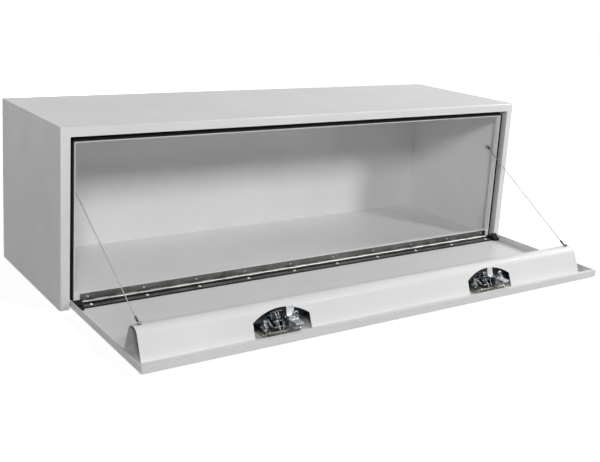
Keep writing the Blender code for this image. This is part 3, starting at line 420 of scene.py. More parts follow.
# painted shade and painted dark reflection: the latch frame's steel is coloured a dark blue-grey
frameSteelPaintedShadeAndReflection = makeBrushed("frameSteelPaintedShadeAndReflection", (0.03, 0.045, 0.06), (0.3, 0.37, 0.43), (0.16, 0.34), 90, even)
rivetSteel = makeBrushed("rivetStainless", (0.2, 0.2, 0.2), (0.5, 0.5, 0.49), (0.42, 0.6), 300, even)
ferruleSteel = makeBrushed("ferruleSteel", (0.03, 0.03, 0.03), (0.16, 0.16, 0.155), (0.3, 0.5), 220, even)
zinc = makeZinc()
rubber = makeRubber()
ropeSteel = makeRope()
print("materials made")


# a place on the open door, in mm: sideways, and deep and along from the hinge's axis
def doorPoint(x, deep, along):
    return Vector((x, -219.8 - along, 11.5 + deep)) * mm


def scaled(rows):
    return [(a * mm, b * mm) for a, b in rows]


def smoothMesh(mesh, limit):
    shape = bmesh.new()
    shape.from_mesh(mesh)
    for face in shape.faces:
        face.smooth = True
    for edge in shape.edges:
        edge.smooth = len(edge.link_faces) == 2 and edge.calc_face_angle(0) < math.radians(limit)
    shape.to_mesh(mesh)
    shape.free()


def placePiece(name, mesh, body, limit):
    smoothMesh(mesh, limit)
    piece = bpy.data.objects.new(name, mesh)
    scene.collection.objects.link(piece)
    if body:
        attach(piece, body)
    return piece


def addPiece(name, shape, material, body, limit=38):
    bmesh.ops.remove_doubles(shape, verts=shape.verts, dist=0.000004)
    bmesh.ops.recalc_face_normals(shape, faces=shape.faces)
    mesh = bpy.data.meshes.new(name)
    shape.to_mesh(mesh)
    shape.free()
    mesh.materials.append(material)
    return placePiece(name, mesh, body, limit)


# faces from one ring of vertices to the next
def bridge(shape, first, second):
    for i in range(len(first)):
        j = (i + 1) % len(first)
        shape.faces.new((first[i], first[j], second[j], second[i]))


# rings of (across, up) points at each (point, across axis, up axis), closed at both ends
def sweep(shape, frames, profile):
    rings = [[shape.verts.new(p + a * u + b * v) for u, v in profile] for p, a, b in frames]
    for first, second in zip(rings, rings[1:]):
        bridge(shape, first, second)
    shape.faces.new(rings[0][::-1])
    shape.faces.new(rings[-1])


def ring(radius, sides):
    angles = [2 * math.pi * i / sides for i in range(sides)]
    return [(radius * math.cos(angle), radius * math.sin(angle)) for angle in angles]


# a round wire along points, without twist
def wire(shape, points, radius, sides=8):
    ahead = (points[1] - points[0]).normalized()
    across = ahead.orthogonal().normalized()
    frames = []
    for i, point in enumerate(points):
        before, after = points[max(i - 1, 0)], points[min(i + 1, len(points) - 1)]
        turn = ahead.rotation_difference((after - before).normalized())
        across = turn @ across
        ahead = (after - before).normalized()
        across = (across - ahead * across.dot(ahead)).normalized()
        frames.append((point, across, ahead.cross(across)))
    sweep(shape, frames, ring(radius, sides))


# (radius, height) points turned about an axis; the first and last close at the axis
def turned(shape, profile, base, axis, sides):
    axis = Vector(axis).normalized()
    across = axis.orthogonal().normalized()
    other = axis.cross(across)
    rings = []
    for radius, height in profile:
        middle = base + axis * height
        spots = ring(radius, sides) if radius else [(0, 0)]
        rings.append([shape.verts.new(middle + across * u + other * v) for u, v in spots])
    for first, second in zip(rings, rings[1:]):
        for i in range(sides):
            j = (i + 1) % sides
            corners = [row[k % len(row)] for row, k in ((first, i), (first, j), (second, j), (second, i))]
            corners = list(dict.fromkeys(corners))
            if len(corners) > 2:
                shape.faces.new(corners)


# a block between two corners, with its edges rounded
def block(shape, low, high, bevel):
    low, high = Vector(map(min, low, high)), Vector(map(max, low, high))
    made = bmesh.new()
    bmesh.ops.create_cube(made, size=1)
    for vert in made.verts:
        vert.co = (low + high) / 2 + Vector(a * b for a, b in zip(vert.co, high - low))
    settings = {"segments": 2, "profile": 0.5, "affect": "EDGES", "clamp_overlap": True}
    bmesh.ops.bevel(made, geom=list(made.edges), offset=bevel, **settings)
    merge(shape, made)


# a sheet cut to an outline of (y, z) points about its origin, with softened edges
def plate(shape, outline, origin, thickness, bevel):
    made = bmesh.new()
    faces = (-thickness / 2, thickness / 2)
    sides = [[made.verts.new(origin + Vector((x, y, z))) for y, z in outline] for x in faces]
    made.faces.new(sides[0][::-1])
    made.faces.new(sides[1])
    bridge(made, *sides)
    rims = [e for f in list(made.faces)[:2] for e in f.edges]
    bmesh.ops.bevel(made, geom=rims, offset=bevel, segments=1, affect="EDGES", clamp_overlap=True)
    merge(shape, made)


def merge(shape, made):
    mesh = bpy.data.meshes.new("made")
    made.to_mesh(mesh)
    made.free()
    shape.from_mesh(mesh)
    bpy.data.meshes.remove(mesh)


# Geometry Nodes helpers
def startTree(name, inputs):
    tree = bpy.data.node_groups.new(name, "GeometryNodeTree")
    tree.interface.new_socket("Geometry", in_out="INPUT", socket_type="NodeSocketGeometry")
    for label, kind in inputs:
        tree.interface.new_socket(label, in_out="INPUT", socket_type="NodeSocket" + kind)
    tree.interface.new_socket("Geometry", in_out="OUTPUT", socket_type="NodeSocketGeometry")
    given, out = tree.nodes.new("NodeGroupInput"), tree.nodes.new("NodeGroupOutput")
    return tree, given.outputs, out.inputs["Geometry"]


def addNode(tree, kind, links=(), values=(), **settings):
    node = tree.nodes.new(kind)
    for name, value in settings.items():
        setattr(node, name, value)
    for name, value in values:
        node.inputs[name].default_value = value
    for name, source in links:
        tree.links.new(source, node.inputs[name])
    return node


def endTree(tree, source, given, out):
    real = addNode(tree, "GeometryNodeRealizeInstances", [("Geometry", source)])
    links = [("Geometry", real.outputs["Geometry"]), ("Material", given["Material"])]
    painted = addNode(tree, "GeometryNodeSetMaterial", links)
    tree.links.new(painted.outputs["Geometry"], out)


# the tree's result on a mesh or a curve, as a plain mesh piece
def grow(name, data, tree, values, body, limit=38):
    source = bpy.data.objects.new(name + "Source", data)
    scene.collection.objects.link(source)
    modifier = source.modifiers.new("grow", "NODES")
    modifier.node_group = tree
    for item in tree.interface.items_tree:
        if item.item_type == "SOCKET" and item.in_out == "INPUT" and item.name in values:
            modifier[item.identifier] = values[item.name]
    bpy.context.view_layer.update()
    evaluated = source.evaluated_get(bpy.context.evaluated_depsgraph_get())
    mesh = bpy.data.meshes.new_from_object(evaluated)
    source.modifiers.remove(modifier)
    bpy.data.objects.remove(source)
    mesh.name = name
    return placePiece(name, mesh, body, limit)


def pointsMesh(name, points):
    mesh = bpy.data.meshes.new(name)
    mesh.from_pydata(points, [], [])
    return mesh


def pathCurve(name, points):
    curve = bpy.data.curves.new(name, "CURVE")
    curve.dimensions = "3D"
    spline = curve.splines.new("POLY")
    spline.points.add(len(points) - 1)
    for spot, point in zip(spline.points, points):
        spot.co = (*point, 1)
    return curve


# door cables: six strands round a core, on the solids' own route
cable = {
    "radius": 1.2 * mm,
    "lay": 11 * mm,
    "wallCentre": (758.1, -138.5, 295),
    "bend": (715, -198.6, 293),
    "crest": (698, -546.8, 77.8),
    "eyeKnee": 7.6,
    "eyeReach": 16.3,
    "lipBend": 12,
    "fineSteps": 24,
    "count": 64,
    "strands": 6,
    "lobeDepth": 0.24,
    "sides": 36,
    "step": 0.7 * mm,
}


def eyeStart(centre, axis, target):
    toTarget = target - centre
    flat = (toTarget - axis * toTarget.dot(axis)).normalized()
    knee = centre + flat * cable["eyeKnee"]
    return knee + (target - knee).normalized() * cable["eyeReach"]


# even points along a centripetal Catmull-Rom curve, as the solid's cable has
def smoothLine(route, count):
    ends = [2 * route[0] - route[1], *route, 2 * route[-1] - route[-2]]
    fine = []
    for a, b, c, d in zip(ends, ends[1:], ends[2:], ends[3:]):
        knots = [0]
        for start, end in ((a, b), (b, c), (c, d)):
            knots.append(knots[-1] + (end - start).length ** 0.5)
        for step in range(cable["fineSteps"]):
            t = knots[1] + (knots[2] - knots[1]) * step / cable["fineSteps"]
            rows = [a, b, c, d]
            for level in (1, 2, 3):
                rows = [
                    rows[i] * ((knots[i + level] - t) / (knots[i + level] - knots[i]))
                    + rows[i + 1] * ((t - knots[i]) / (knots[i + level] - knots[i]))
                    for i in range(len(rows) - 1)
                ]
            fine.append(rows[0])
    fine.append(route[-1])
    reached = [0]
    for start, end in zip(fine, fine[1:]):
        reached.append(reached[-1] + (end - start).length)
    points, k = [], 0
    for i in range(count):
        goal = reached[-1] * i / (count - 1)
        while k < len(fine) - 2 and reached[k + 1] < goal:
            k += 1
        points.append(fine[k].lerp(fine[k + 1], (goal - reached[k]) / (reached[k + 1] - reached[k])))
    return points, reached[-1]


def cableRoute(turn):
    places = (cable["wallCentre"], cable["bend"], cable["crest"])
    wall, bend, crest = (Vector((turn * x, y, z)) for x, y, z in places)
    start = eyeStart(wall, Vector((turn, 0, 0)), bend)
    end = eyeStart(crest, Vector((0, 0, 1)), bend)
    before = bend - (bend - start).normalized() * cable["lipBend"]
    after = bend + (end - bend).normalized() * cable["lipBend"]
    apex = (before + 2 * bend + after) / 4
    route = [start, start.lerp(before, 1 / 2), before, apex, after]
    route += [after.lerp(end, 1 / 4), after.lerp(end, 1 / 2), after.lerp(end, 3 / 4), end]
    return smoothLine([p * mm for p in route], cable["count"])


# a lobed section, one lobe for each strand, that turns once in each lay
def makeRopeTree():
    inputs = [("Radius", "Float"), ("Lay", "Float"), ("Strands", "Int"), ("Step", "Float")]
    tree, given, out = startTree("twistedRope", [*inputs, ("Material", "Material")])
    links = [("Curve", given["Geometry"]), ("Length", given["Step"])]
    fine = addNode(tree, "GeometryNodeResampleCurve", links, mode="LENGTH")
    along = addNode(tree, "GeometryNodeSplineParameter")
    turns = math2(tree, "DIVIDE", along.outputs["Length"], given["Lay"])
    links = [("Curve", fine.outputs["Curve"]), ("Tilt", math2(tree, "MULTIPLY", turns, 2 * math.pi))]
    tilted = addNode(tree, "GeometryNodeSetCurveTilt", links)
    links = [("Radius", given["Radius"])]
    circle = addNode(tree, "GeometryNodeCurvePrimitiveCircle", links, [("Resolution", cable["sides"])])
    spot = addNode(tree, "GeometryNodeInputPosition")
    parts = partsOf(tree, spot.outputs["Position"])
    angle = math2(tree, "ARCTAN2", parts["Y"], parts["X"])
    half = math2(tree, "MULTIPLY", given["Strands"], 0.5)
    lobe = math2(tree, "ABSOLUTE", math2(tree, "COSINE", math2(tree, "MULTIPLY", angle, half), 0), 0)
    reach = math2(tree, "MULTIPLY", lobe, cable["lobeDepth"])
    reach = math2(tree, "ADD", reach, 1 - cable["lobeDepth"])
    lobed = addNode(tree, "ShaderNodeVectorMath", operation="SCALE")
    tree.links.new(spot.outputs["Position"], lobed.inputs[0])
    tree.links.new(reach, lobed.inputs["Scale"])
    links = [("Geometry", circle.outputs["Curve"]), ("Position", lobed.outputs["Vector"])]
    section = addNode(tree, "GeometryNodeSetPosition", links)
    links = [("Curve", tilted.outputs["Curve"]), ("Profile Curve", section.outputs["Geometry"])]
    tube = addNode(tree, "GeometryNodeCurveToMesh", links, [("Fill Caps", True)])
    endTree(tree, tube.outputs["Mesh"], given, out)
    return tree


ropeTree = makeRopeTree()
ropeValues = {
    "Radius": cable["radius"],
    "Lay": cable["lay"],
    "Strands": cable["strands"],
    "Step": cable["step"],
    "Material": ropeSteel,
}
for side, turn in (("left", -1), ("right", 1)):
    points, length = cableRoute(turn)
    path = pathCurve(side + "RopePath", points)
    rope = grow(side + "Rope", path, ropeTree, ropeValues, None, 60)
    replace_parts(rope, side + "_cable")
    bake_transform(rope)
print("cables run")


# every CAD node gets its finish, and its bends are shaded round
finishes = (
    ("hinge_body_leaf", hingeSteel),
    ("hinge_door_leaf", hingeSteel),
    ("hinge_pin", hingeSteel),
    ("body_rivet", rivetSteel),
    ("door_rivet", rivetPaint),
    ("body_shell", whitePaint),
    ("door_panel", doorPaint),
    ("door_stiffener", doorPaint),
    ("latch_dish", dishSteel),
    ("_eye", ferruleSteel),
    ("paddle_pin", zinc),
    ("paddle", latchSteel),
    ("bolt_bracket", latchSteel),
)


# marks only the sharp edges, so that a rolled bend isn't seen as flats
def makeBendTree():
    tree, given, out = startTree("roundedBends", [("Limit", "Float")])
    angle = addNode(tree, "GeometryNodeInputMeshEdgeAngle")
    sharp = addNode(tree, "FunctionNodeCompare", operation="GREATER_THAN", data_type="FLOAT")
    tree.links.new(angle.outputs["Unsigned Angle"], sharp.inputs[0])
    tree.links.new(given["Limit"], sharp.inputs[1])
    links = [("Geometry", given["Geometry"])]
    faces = addNode(tree, "GeometryNodeSetShadeSmooth", links, [("Shade Smooth", True)], domain="FACE")
    links = [("Geometry", faces.outputs["Geometry"]), ("Selection", sharp.outputs["Result"])]
    edges = addNode(tree, "GeometryNodeSetShadeSmooth", links, [("Shade Smooth", False)], domain="EDGE")
    tree.links.new(edges.outputs["Geometry"], out)
    return tree


bendTree = makeBendTree()
shading = {"weld": 0.000005, "sharpAbove": {"plain": 37, "domed": 50}}


def dressNode(name, node):
    found = [material for part, material in finishes if part in name]
    node.data.materials.clear()
    node.data.materials.append(found[0] if found else zinc)
    weld = node.modifiers.new("weld", "WELD")
    weld.merge_threshold = shading["weld"]
    bends = node.modifiers.new("bends", "NODES")
    bends.node_group = bendTree
    limit = [item for item in bendTree.interface.items_tree if item.name == "Limit"][0]
    kind = "domed" if "rivet" in name or "stud" in name else "plain"
    bends[limit.identifier] = math.radians(shading["sharpAbove"][kind])
    weighted = node.modifiers.new("weighted", "WEIGHTED_NORMAL")
    weighted.keep_sharp = True
    weighted.mode = "FACE_AREA"


for name, node in nodes.items():
    dressNode(name, node)
print("solids finished")


# rubber: bulb seal, hinge gasket, strip and corner bumpers
seal = {
    "boxHalf": 0.762,
    "boxTop": 0.457,
    "inset": 33.5 * mm,
    "seat": -0.2008,
    "low": 2.2 * mm,
    "cornerRadius": 9 * mm,
    "cornerSteps": 6,
    "step": 24 * mm,
    "wave": 0.45 * mm,
    "waveSize": 26,
    "keeps": 0.4,
    "rightTaller": 0.12,
    "tallerFrom": (0.7, 0.722),
    "tallerAbove": (0.03, 0.045),
    "section": ((-6, 0), (5.9, 0), (5.95, 3), (5.8, 7), (5.5, 11), (5, 13.4), (4.1, 15), (2.8, 15.7),
                (1.4, 15.4), (0.3, 14.2), (-0.3, 12.4), (-0.5, 10.2), (-1.1, 8), (-1.9, 6.6), (-2.3, 4.8),
                (-2.6, 3), (-3.6, 1.8), (-5.4, 1.5), (-6, 0.9)),
}


# (point, outward axis) pairs up the left side, across the top and down the right
def sealPath():
    side, top, radius = seal["boxHalf"] - seal["inset"], seal["boxTop"] - seal["inset"], seal["cornerRadius"]
    path = []

    def run(start, end, outward):
        count = max(1, round((end - start).length / seal["step"]))
        path.extend((start.lerp(end, i / count), outward) for i in range(count + 1))

    run(Vector((-side, 0, seal["low"])), Vector((-side, 0, top - radius)), Vector((-1, 0, 0)))
    for turn in (-1, 1):
        for i in range(1, seal["cornerSteps"]):
            share = i / seal["cornerSteps"]
            angle = math.radians(180 - 90 * share if turn < 0 else 90 - 90 * share)
            out = Vector((math.cos(angle), 0, math.sin(angle)))
            path.append((Vector((turn * (side - radius), 0, top - radius)) + out * radius, out))
        if turn < 0:
            run(Vector((-side + radius, 0, top)), Vector((side - radius, 0, top)), Vector((0, 0, 1)))
    run(Vector((side, 0, top - radius)), Vector((side, 0, seal["low"])), Vector((1, 0, 0)))
    return path


# how far a value has come from start to end, from 0 to 1
def progress(value, start, end):
    return min(1, max(0, (value - start) / (end - start)))


def makeSeal():
    shape = bmesh.new()
    frames = []
    for point, out in sealPath():
        shift = noise.noise(point * seal["waveSize"]) * seal["wave"]
        taller = progress(point.x, *seal["tallerFrom"]) * progress(point.z, *seal["tallerAbove"])
        height = 1 + seal["rightTaller"] * taller
        frames.append((Vector((point.x, seal["seat"], point.z)) - out * shift, -out, Vector((0, -height, 0))))
    sweep(shape, frames, scaled(seal["section"]))
    piece = addPiece("bulbSeal", shape, rubber, "box", 50)
    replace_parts(piece, "door_seal")
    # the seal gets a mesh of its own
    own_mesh(piece)


hingeRubber = {
    "half": 705.7,
    "steps": 40,
    "gasket": ((-2.2, -5.65), (30.6, -5.65), (30.95, -5.2), (30.95, -4.1), (30.5, -3.65), (-2.2, -3.65)),
    "strip": ((3.9, -1.45), (13.7, -1.45), (13.7, -0.75), (13.2, -0.4), (11.6, -0.35), (11.2, -0.7),
              (10.4, -0.7), (10, -0.35), (7.6, -0.35), (7.2, -0.7), (6.4, -0.7), (6, -0.35), (4.4, -0.35),
              (3.9, -0.75)),
    "bumper": ((0.3, -5.65), (39.6, -5.65), (40, -4.8), (39.7, -1), (38.6, 1.9), (36.4, 3.7), (33.2, 4.3),
               (30.4, 4), (28.6, 5), (27.4, 8.4), (26.2, 12.4), (24.6, 15), (22.4, 16), (20.2, 15.2),
               (18.6, 12.4), (17.4, 8.6), (15.8, 5.6), (13.8, 5), (12.2, 6.4), (10.6, 8.4), (8.6, 9.2),
               (6.6, 8.2), (5, 5.6), (3.4, 2.6), (1.6, 1), (0.5, 0.2)),
    "bumperKeeps": 0.36,
    "bumperEnds": (709.2, 731.6),
    "endRounding": ((0, 0.86), (1, 0.955), (2.5, 1.0)),
}


# a section of (along, deep) points at each (x, share of its size) along the hinge
def alongHinge(shape, stations, section):
    middle = sum(a for a, _ in section) / len(section)
    low = min(d for _, d in section)
    rings = []
    for x, size in stations:
        spots = [doorPoint(x, low + (d - low) * size, middle + (a - middle) * size) for a, d in section]
        rings.append([shape.verts.new(spot) for spot in spots])
    for first, second in zip(rings, rings[1:]):
        bridge(shape, first, second)
    shape.faces.new(rings[0])
    shape.faces.new(rings[-1][::-1])


def makeHingeRubber():
    half, steps = hingeRubber["half"], hingeRubber["steps"]
    evenly = [(-half + 2 * half * i / steps, 1.0) for i in range(steps + 1)]
    for name, node, section in (
        ("hingeGasketSheet", "hinge_gasket", hingeRubber["gasket"]),
        ("hingeRubStrip", "hinge_strip", hingeRubber["strip"]),
    ):
        shape = bmesh.new()
        alongHinge(shape, evenly, section)
        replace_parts(addPiece(name, shape, rubber, "door"), node)
    for side, turn in (("left", -1), ("right", 1)):
        shape = bmesh.new()
        start, end = sorted(turn * x for x in hingeRubber["bumperEnds"])
        rounding = hingeRubber["endRounding"]
        stations = [(start + x, size) for x, size in rounding]
        stations += [(end - x, size) for x, size in rounding[::-1]]
        alongHinge(shape, stations, hingeRubber["bumper"])
        bumper = addPiece(side + "RibbedBumper", shape, rubber, "door", 50)
        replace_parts(bumper, side + "_corner_bumper")
        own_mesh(bumper)


makeSeal()
makeHingeRubber()
print("rubber laid")


# latch works, behind each dish, in mm. A place is (sideways from the latch's middle, deep, along), and a point
# of an outline is (along, deep). A block is (corner, corner, edge), a wire (radius, places), and a coil
# (turns, radius, wire, length, start, aim)
latch = {
    "centre": 345,
    "sheet": 1.8,
    "edge": 0.25,
    "frameSides": (-2.2, -19),
    "frameOutline": ((322, 7.7), (374, 7.7), (375.5, 9.2), (375.5, 15), (370, 17.5), (366.5, 24),
                     (361, 27.5), (355, 27.5), (351.5, 24), (348, 21), (343.5, 22), (340.5, 28), (339, 36),
                     (336, 41), (332, 43), (327.5, 42.6), (324, 39), (322, 32), (320.5, 22), (320.5, 9.2)),
    "frameFeet": (((-19, 7.75, 324.5), (-2.2, 9.3, 331.5), 0.3), ((-19, 7.75, 366), (-2.2, 9.3, 373), 0.3)),
    "tabSides": {"left": (12, 33), "right": (-8, 12)},
    "tabOutline": ((371.5, 32.15), (371.5, 33.4), (361.8, 33.5), (360.9, 34.6), (356, 54.4), (355.2, 54.9),
                   (354.6, 54.2), (359.6, 33.2), (360.6, 32.15)),
    "camSides": (-14.5, -6.7),
    "camOutline": ((322, 28), (326, 40), (334, 46), (345, 45), (353, 39.5), (355, 36.5), (352, 35),
                   (344, 39), (335, 38.5), (331, 33), (330, 26)),
    "camBlocks": (((-14.5, 43.2, 340.5), (11, 44.6, 349.5), 0.4),
                  ((-12.6, 25.8, 343), (1.6, 28.7, 352.4), 0.5)),
    "leverSides": (-13, -8.2),
    "leverSheet": 1.5,
    "leverEdge": 0.2,
    "leverOutline": ((324, 24), (332, 23.2), (344, 11.6), (347, 11.6), (358.5, 18.2), (362.5, 24.5),
                     (358, 26), (346, 17.2), (334.5, 29.5), (330, 31)),
    "leverBlocks": (((-13.6, 11.8, 344.2), (-7.6, 13.1, 346.8), 0.2),),
    "wires": {
        "SpringLeg1": (0.85, ((-10, 22, 359), (-12, 19.6, 365), (-15.2, 14.6, 374), (-15.4, 9.6, 376.4),
                              (-14.6, 8.8, 378))),
        "SpringLeg2": (0.85, ((-0.6, 22, 360), (-1.4, 20.4, 365), (-4.6, 15.4, 374.4), (-6.2, 9.6, 377),
                              (-7, 8.8, 378.6))),
        "LatchLink": (0.9, ((-24, 27, 329), (-27, 27, 329), (-28.4, 26, 330), (-28.6, 24, 333),
                            (-27.2, 19, 341), (-26.8, 15, 350), (-26.8, 12.8, 359), (-26.8, 12.4, 368),
                            (-26.2, 12.5, 370), (-24.6, 12.6, 370.4), (-22.2, 12.6, 370.4))),
    },
    "coils": {
        "EndCoil": (3.0, 4.4, 0.75, 5.4, (35.6, 37.4, 361.2), (0, -1, 0)),
        "LeverCoil": (5.0, 3.7, 0.62, 7.2, (-7.6, 27, 329), (1, 0, 0)),
        "CatchCoil": (5.0, 3.7, 0.62, 7.2, (-17.9, 22, 357.5), (1, 0, 0)),
        "PullCoil": (15.0, 2.6, 0.5, 21, (-27.2, 19.5, 340.2), (0, -0.72, -0.3)),
    },
    "boltCoil": (5.0, 3.6, 0.55),
    "boltCoilEnds": ((22, 15.4, 330.75), (22, 15.4, 336.85)),
    "endPlug": ((0, 0), (3.3, 0), (3.3, 4.6), (2.9, 5), (0, 5)),
    "pins": ((329, 27, 1.9), (357.5, 22, 1.7), (368.5, 12.6, 1.6)),
    "pinEnds": (-21.5, 2.6),
    "pinHead": ((0, 0), (1.5, 0), (1.7, 0.4), (1.7, 1.2), (1, 1.3)),
    "lockAxis": (-37, 0, 342),
    "lockRings": (("toothed", 7.7, 1.1, 12), ("hex", 8.8, 4.2, 11.2), ("round", 22.4, 1, 9.2)),
    "lockHole": 7.62,
    "lockSteps": 48,
    "toothDepth": 0.1,
    "heads": ((-8.7, 28.7, 348, 2.4), (-1.2, 28.7, 349.6, 2.2), (-45.4, 7.6, 378.6, 1.8),
              (37.4, 32.2, 371.4, 2.2), (6.4, 32.2, 364, 2.2)),
    "headDome": ((0, 0), (1, 0), (0.96, 0.5), (0.7, 1.2), (0.35, 1.55), (0, 1.65)),
    "footRivets": ((5.2, 9.9, 334), (5.2, 9.9, 352), (5.2, 9.9, 368), (38.6, 9.9, 369), (38.6, 9.9, 363.2)),
    "footRivetRadius": 1.7,
    "footRivetHeight": 1.1,
    "plateBlocks": (((13, 29.0, 339), (31, 30.1, 347.5), 0.4),),
    "plateRivets": ((17, 30.0, 343.2), (27, 30.0, 343.2)),
    "plateRivetDome": ((0, 0), (2, 0), (1.9, 0.6), (1.2, 1.1), (0, 1.25)),
}


# a coil spring along its own Z, from a spiral
def makeCoilTree():
    inputs = [(label, "Float") for label in ("Turns", "Radius", "Wire", "Length")]
    tree, given, out = startTree("coilSpring", [*inputs, ("Material", "Material")])
    sources = {"Rotations": "Turns", "Start Radius": "Radius", "End Radius": "Radius", "Height": "Length"}
    links = [(socket, given[label]) for socket, label in sources.items()]
    spiral = addNode(tree, "GeometryNodeCurveSpiral", links, [("Resolution", 26)])
    links = [("Radius", given["Wire"])]
    section = addNode(tree, "GeometryNodeCurvePrimitiveCircle", links, [("Resolution", 8)])
    links = [("Curve", spiral.outputs["Curve"]), ("Profile Curve", section.outputs["Curve"])]
    tube = addNode(tree, "GeometryNodeCurveToMesh", links, [("Fill Caps", True)])
    links = [("Points", given["Geometry"]), ("Instance", tube.outputs["Mesh"])]
    placed = addNode(tree, "GeometryNodeInstanceOnPoints", links)
    endTree(tree, placed.outputs["Instances"], given, out)
    return tree


# a domed rivet head at each point, up Z
def makeHeadTree():
    inputs = [("Radius", "Float"), ("Height", "Float"), ("Material", "Material")]
    tree, given, out = startTree("domedHeads", inputs)
    links = [("Radius", given["Radius"])]
    dome = addNode(tree, "GeometryNodeMeshUVSphere", links, [("Segments", 14), ("Rings", 8)])
    links = [("Z", math2(tree, "DIVIDE", given["Height"], given["Radius"]))]
    flatness = addNode(tree, "ShaderNodeCombineXYZ", links, [("X", 1), ("Y", 1)])
    links = [("Geometry", dome.outputs["Mesh"]), ("Scale", flatness.outputs["Vector"])]
    head = addNode(tree, "GeometryNodeTransform", links)
    links = [("Points", given["Geometry"]), ("Instance", head.outputs["Geometry"])]
    placed = addNode(tree, "GeometryNodeInstanceOnPoints", links)
    endTree(tree, placed.outputs["Instances"], given, out)
    return tree


coilTree = makeCoilTree()
headTree = makeHeadTree()


# a coil from a point on in a direction, with its place in its mesh
def addCoil(name, sizes, start, direction, body):
    turns, radius, thickness, length = sizes
    values = {"Turns": turns, "Radius": radius * mm, "Wire": thickness * mm, "Length": length * mm}
    values["Material"] = zinc
    piece = grow(name, pointsMesh(name + "Points", [(0, 0, 0)]), coilTree, values, None)
    turn = Vector((0, 0, 1)).rotation_difference(Vector(direction)).to_matrix().to_4x4()
    piece.data.transform(Matrix.Translation(start) @ turn)
    if body:
        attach(piece, body)
    return piece


# points round a nut's or a washer's rim
def rimOf(kind, radius):
    spots = []
    for i, (u, v) in enumerate(ring(radius, latch["lockSteps"])):
        size = 1
        if kind == "hex":
            sixth = 2 * math.pi * i / latch["lockSteps"] % (math.pi / 3)
            size = math.cos(math.pi / 6) / math.cos(sixth - math.pi / 6)
        elif kind == "toothed":
            size = 1 - latch["toothDepth"] * (i % 2)
        spots.append((u * size, v * size))
    return spots


# a ring standing on its hole, up Z
def addWasher(shape, base, kind, radius, height):
    rings = []
    hole, rim = ring(latch["lockHole"] * mm, latch["lockSteps"]), rimOf(kind, radius * mm)
    for spots, level in ((hole, 0), (rim, 0), (rim, height * mm), (hole, height * mm)):
        rings.append([shape.verts.new(base + Vector((u, v, level))) for u, v in spots])
    for first, second in zip(rings, rings[1:] + rings[:1]):
        bridge(shape, first, second)


def makeLatch(side, turn):
    middle = turn * latch["centre"]

    def spot(x, deep, along):
        return doorPoint(middle + x, deep, along)

    def sheets(shape, sides, outline, thickness, edge=latch["edge"]):
        outline = scaled((-along, deep) for along, deep in outline)
        for x in sides:
            plate(shape, outline, doorPoint(middle + x, 0, 0), thickness * mm, edge * mm)

    def blocks(shape, rows):
        for low, high, edge in rows:
            block(shape, spot(*low), spot(*high), edge * mm)

    def finish(name, shape, material=zinc, body="door", limit=38):
        addPiece(side + name, shape, material, body, limit)

    def wires(*names):
        for name in names:
            radius, places = latch["wires"][name]
            shape = bmesh.new()
            wire(shape, [spot(*place) for place in places], radius * mm)
            finish(name, shape, limit=60)

    def coils(*names):
        for name in names:
            *sizes, start, aim = latch["coils"][name]
            addCoil(side + name, sizes, spot(*start), aim, "door")

    shape = bmesh.new()
    sheets(shape, latch["frameSides"], latch["frameOutline"], latch["sheet"])
    blocks(shape, latch["frameFeet"])
    # the frame's dark blue-grey is painted shade and painted dark reflection
    finish("LatchFrame", shape, frameSteelPaintedShadeAndReflection)

    shape = bmesh.new()  # a leaning tab, folded up from the bolt bracket's bridge
    low, high = latch["tabSides"][side]
    sheets(shape, [(low + high) / 2], latch["tabOutline"], high - low)
    finish("BoltTab", shape)

    shape = bmesh.new()  # two cheeks and the light bridge between them
    sheets(shape, latch["camSides"], latch["camOutline"], latch["sheet"])
    blocks(shape, latch["camBlocks"])
    finish("LatchCam", shape)

    wires("SpringLeg1", "SpringLeg2")
    coils("EndCoil")
    shape = bmesh.new()  # a rubber plug inside that coil
    turned(shape, scaled(latch["endPlug"]), spot(*latch["coils"]["EndCoil"][4]), (0, -1, 0), 20)
    finish("EndPlug", shape, rubber)

    shape = bmesh.new()
    start, end = latch["pinEnds"]
    for along, deep, radius in latch["pins"]:
        near = [(radius * size, height) for size, height in latch["pinHead"]]
        far = [(r, end - start - height) for r, height in reversed(near)]
        turned(shape, scaled(near + far), spot(start, deep, along), (1, 0, 0), 16)
    finish("LatchPins", shape)

    shape = bmesh.new()
    sheets(shape, latch["leverSides"], latch["leverOutline"], latch["leverSheet"], latch["leverEdge"])
    blocks(shape, latch["leverBlocks"])
    finish("LatchLever", shape)
    coils("LeverCoil", "CatchCoil")
    wires("LatchLink")  # from the lever to the far side of the dish, hooked at both ends
    coils("PullCoil")

    shape = bmesh.new()  # toothed washer, hex nut and clip that hold the lock
    for kind, deep, height, radius in latch["lockRings"]:
        base = spot(*latch["lockAxis"]) + Vector((0, 0, deep * mm))
        addWasher(shape, base, kind, radius, height)
    finish("LockNut", shape, limit=25)

    shape = bmesh.new()
    for *place, radius in latch["heads"]:
        dome = [(radius * size, height) for size, height in latch["headDome"]]
        turned(shape, scaled(dome), spot(*place), (0, 0, 1), 16)
    finish("LatchHeads", shape, limit=60)

    points = pointsMesh(side + "FootPoints", [spot(*p) for p in latch["footRivets"]])
    radius, height = latch["footRivetRadius"] * mm, latch["footRivetHeight"] * mm
    values = {"Radius": radius, "Height": height, "Material": zinc}
    grow(side + "FootRivets", points, headTree, values, "door", 60)

    start, end = (spot(*place) for place in latch["boltCoilEnds"])
    sizes = (*latch["boltCoil"], (start - end).length / mm)
    coil = addCoil(side + "BoltCoil", sizes, start, (0, -1, 0), None)
    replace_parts(coil, side + "_bolt_spring")
    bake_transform(coil)

    shape = bmesh.new()  # a worn striking plate with two rivets, on the bolt's far end
    blocks(shape, latch["plateBlocks"])
    for place in latch["plateRivets"]:
        turned(shape, scaled(latch["plateRivetDome"]), spot(*place), (0, 0, 1), 14)
    finish("BoltPlate", shape, body=side + "_bolt")


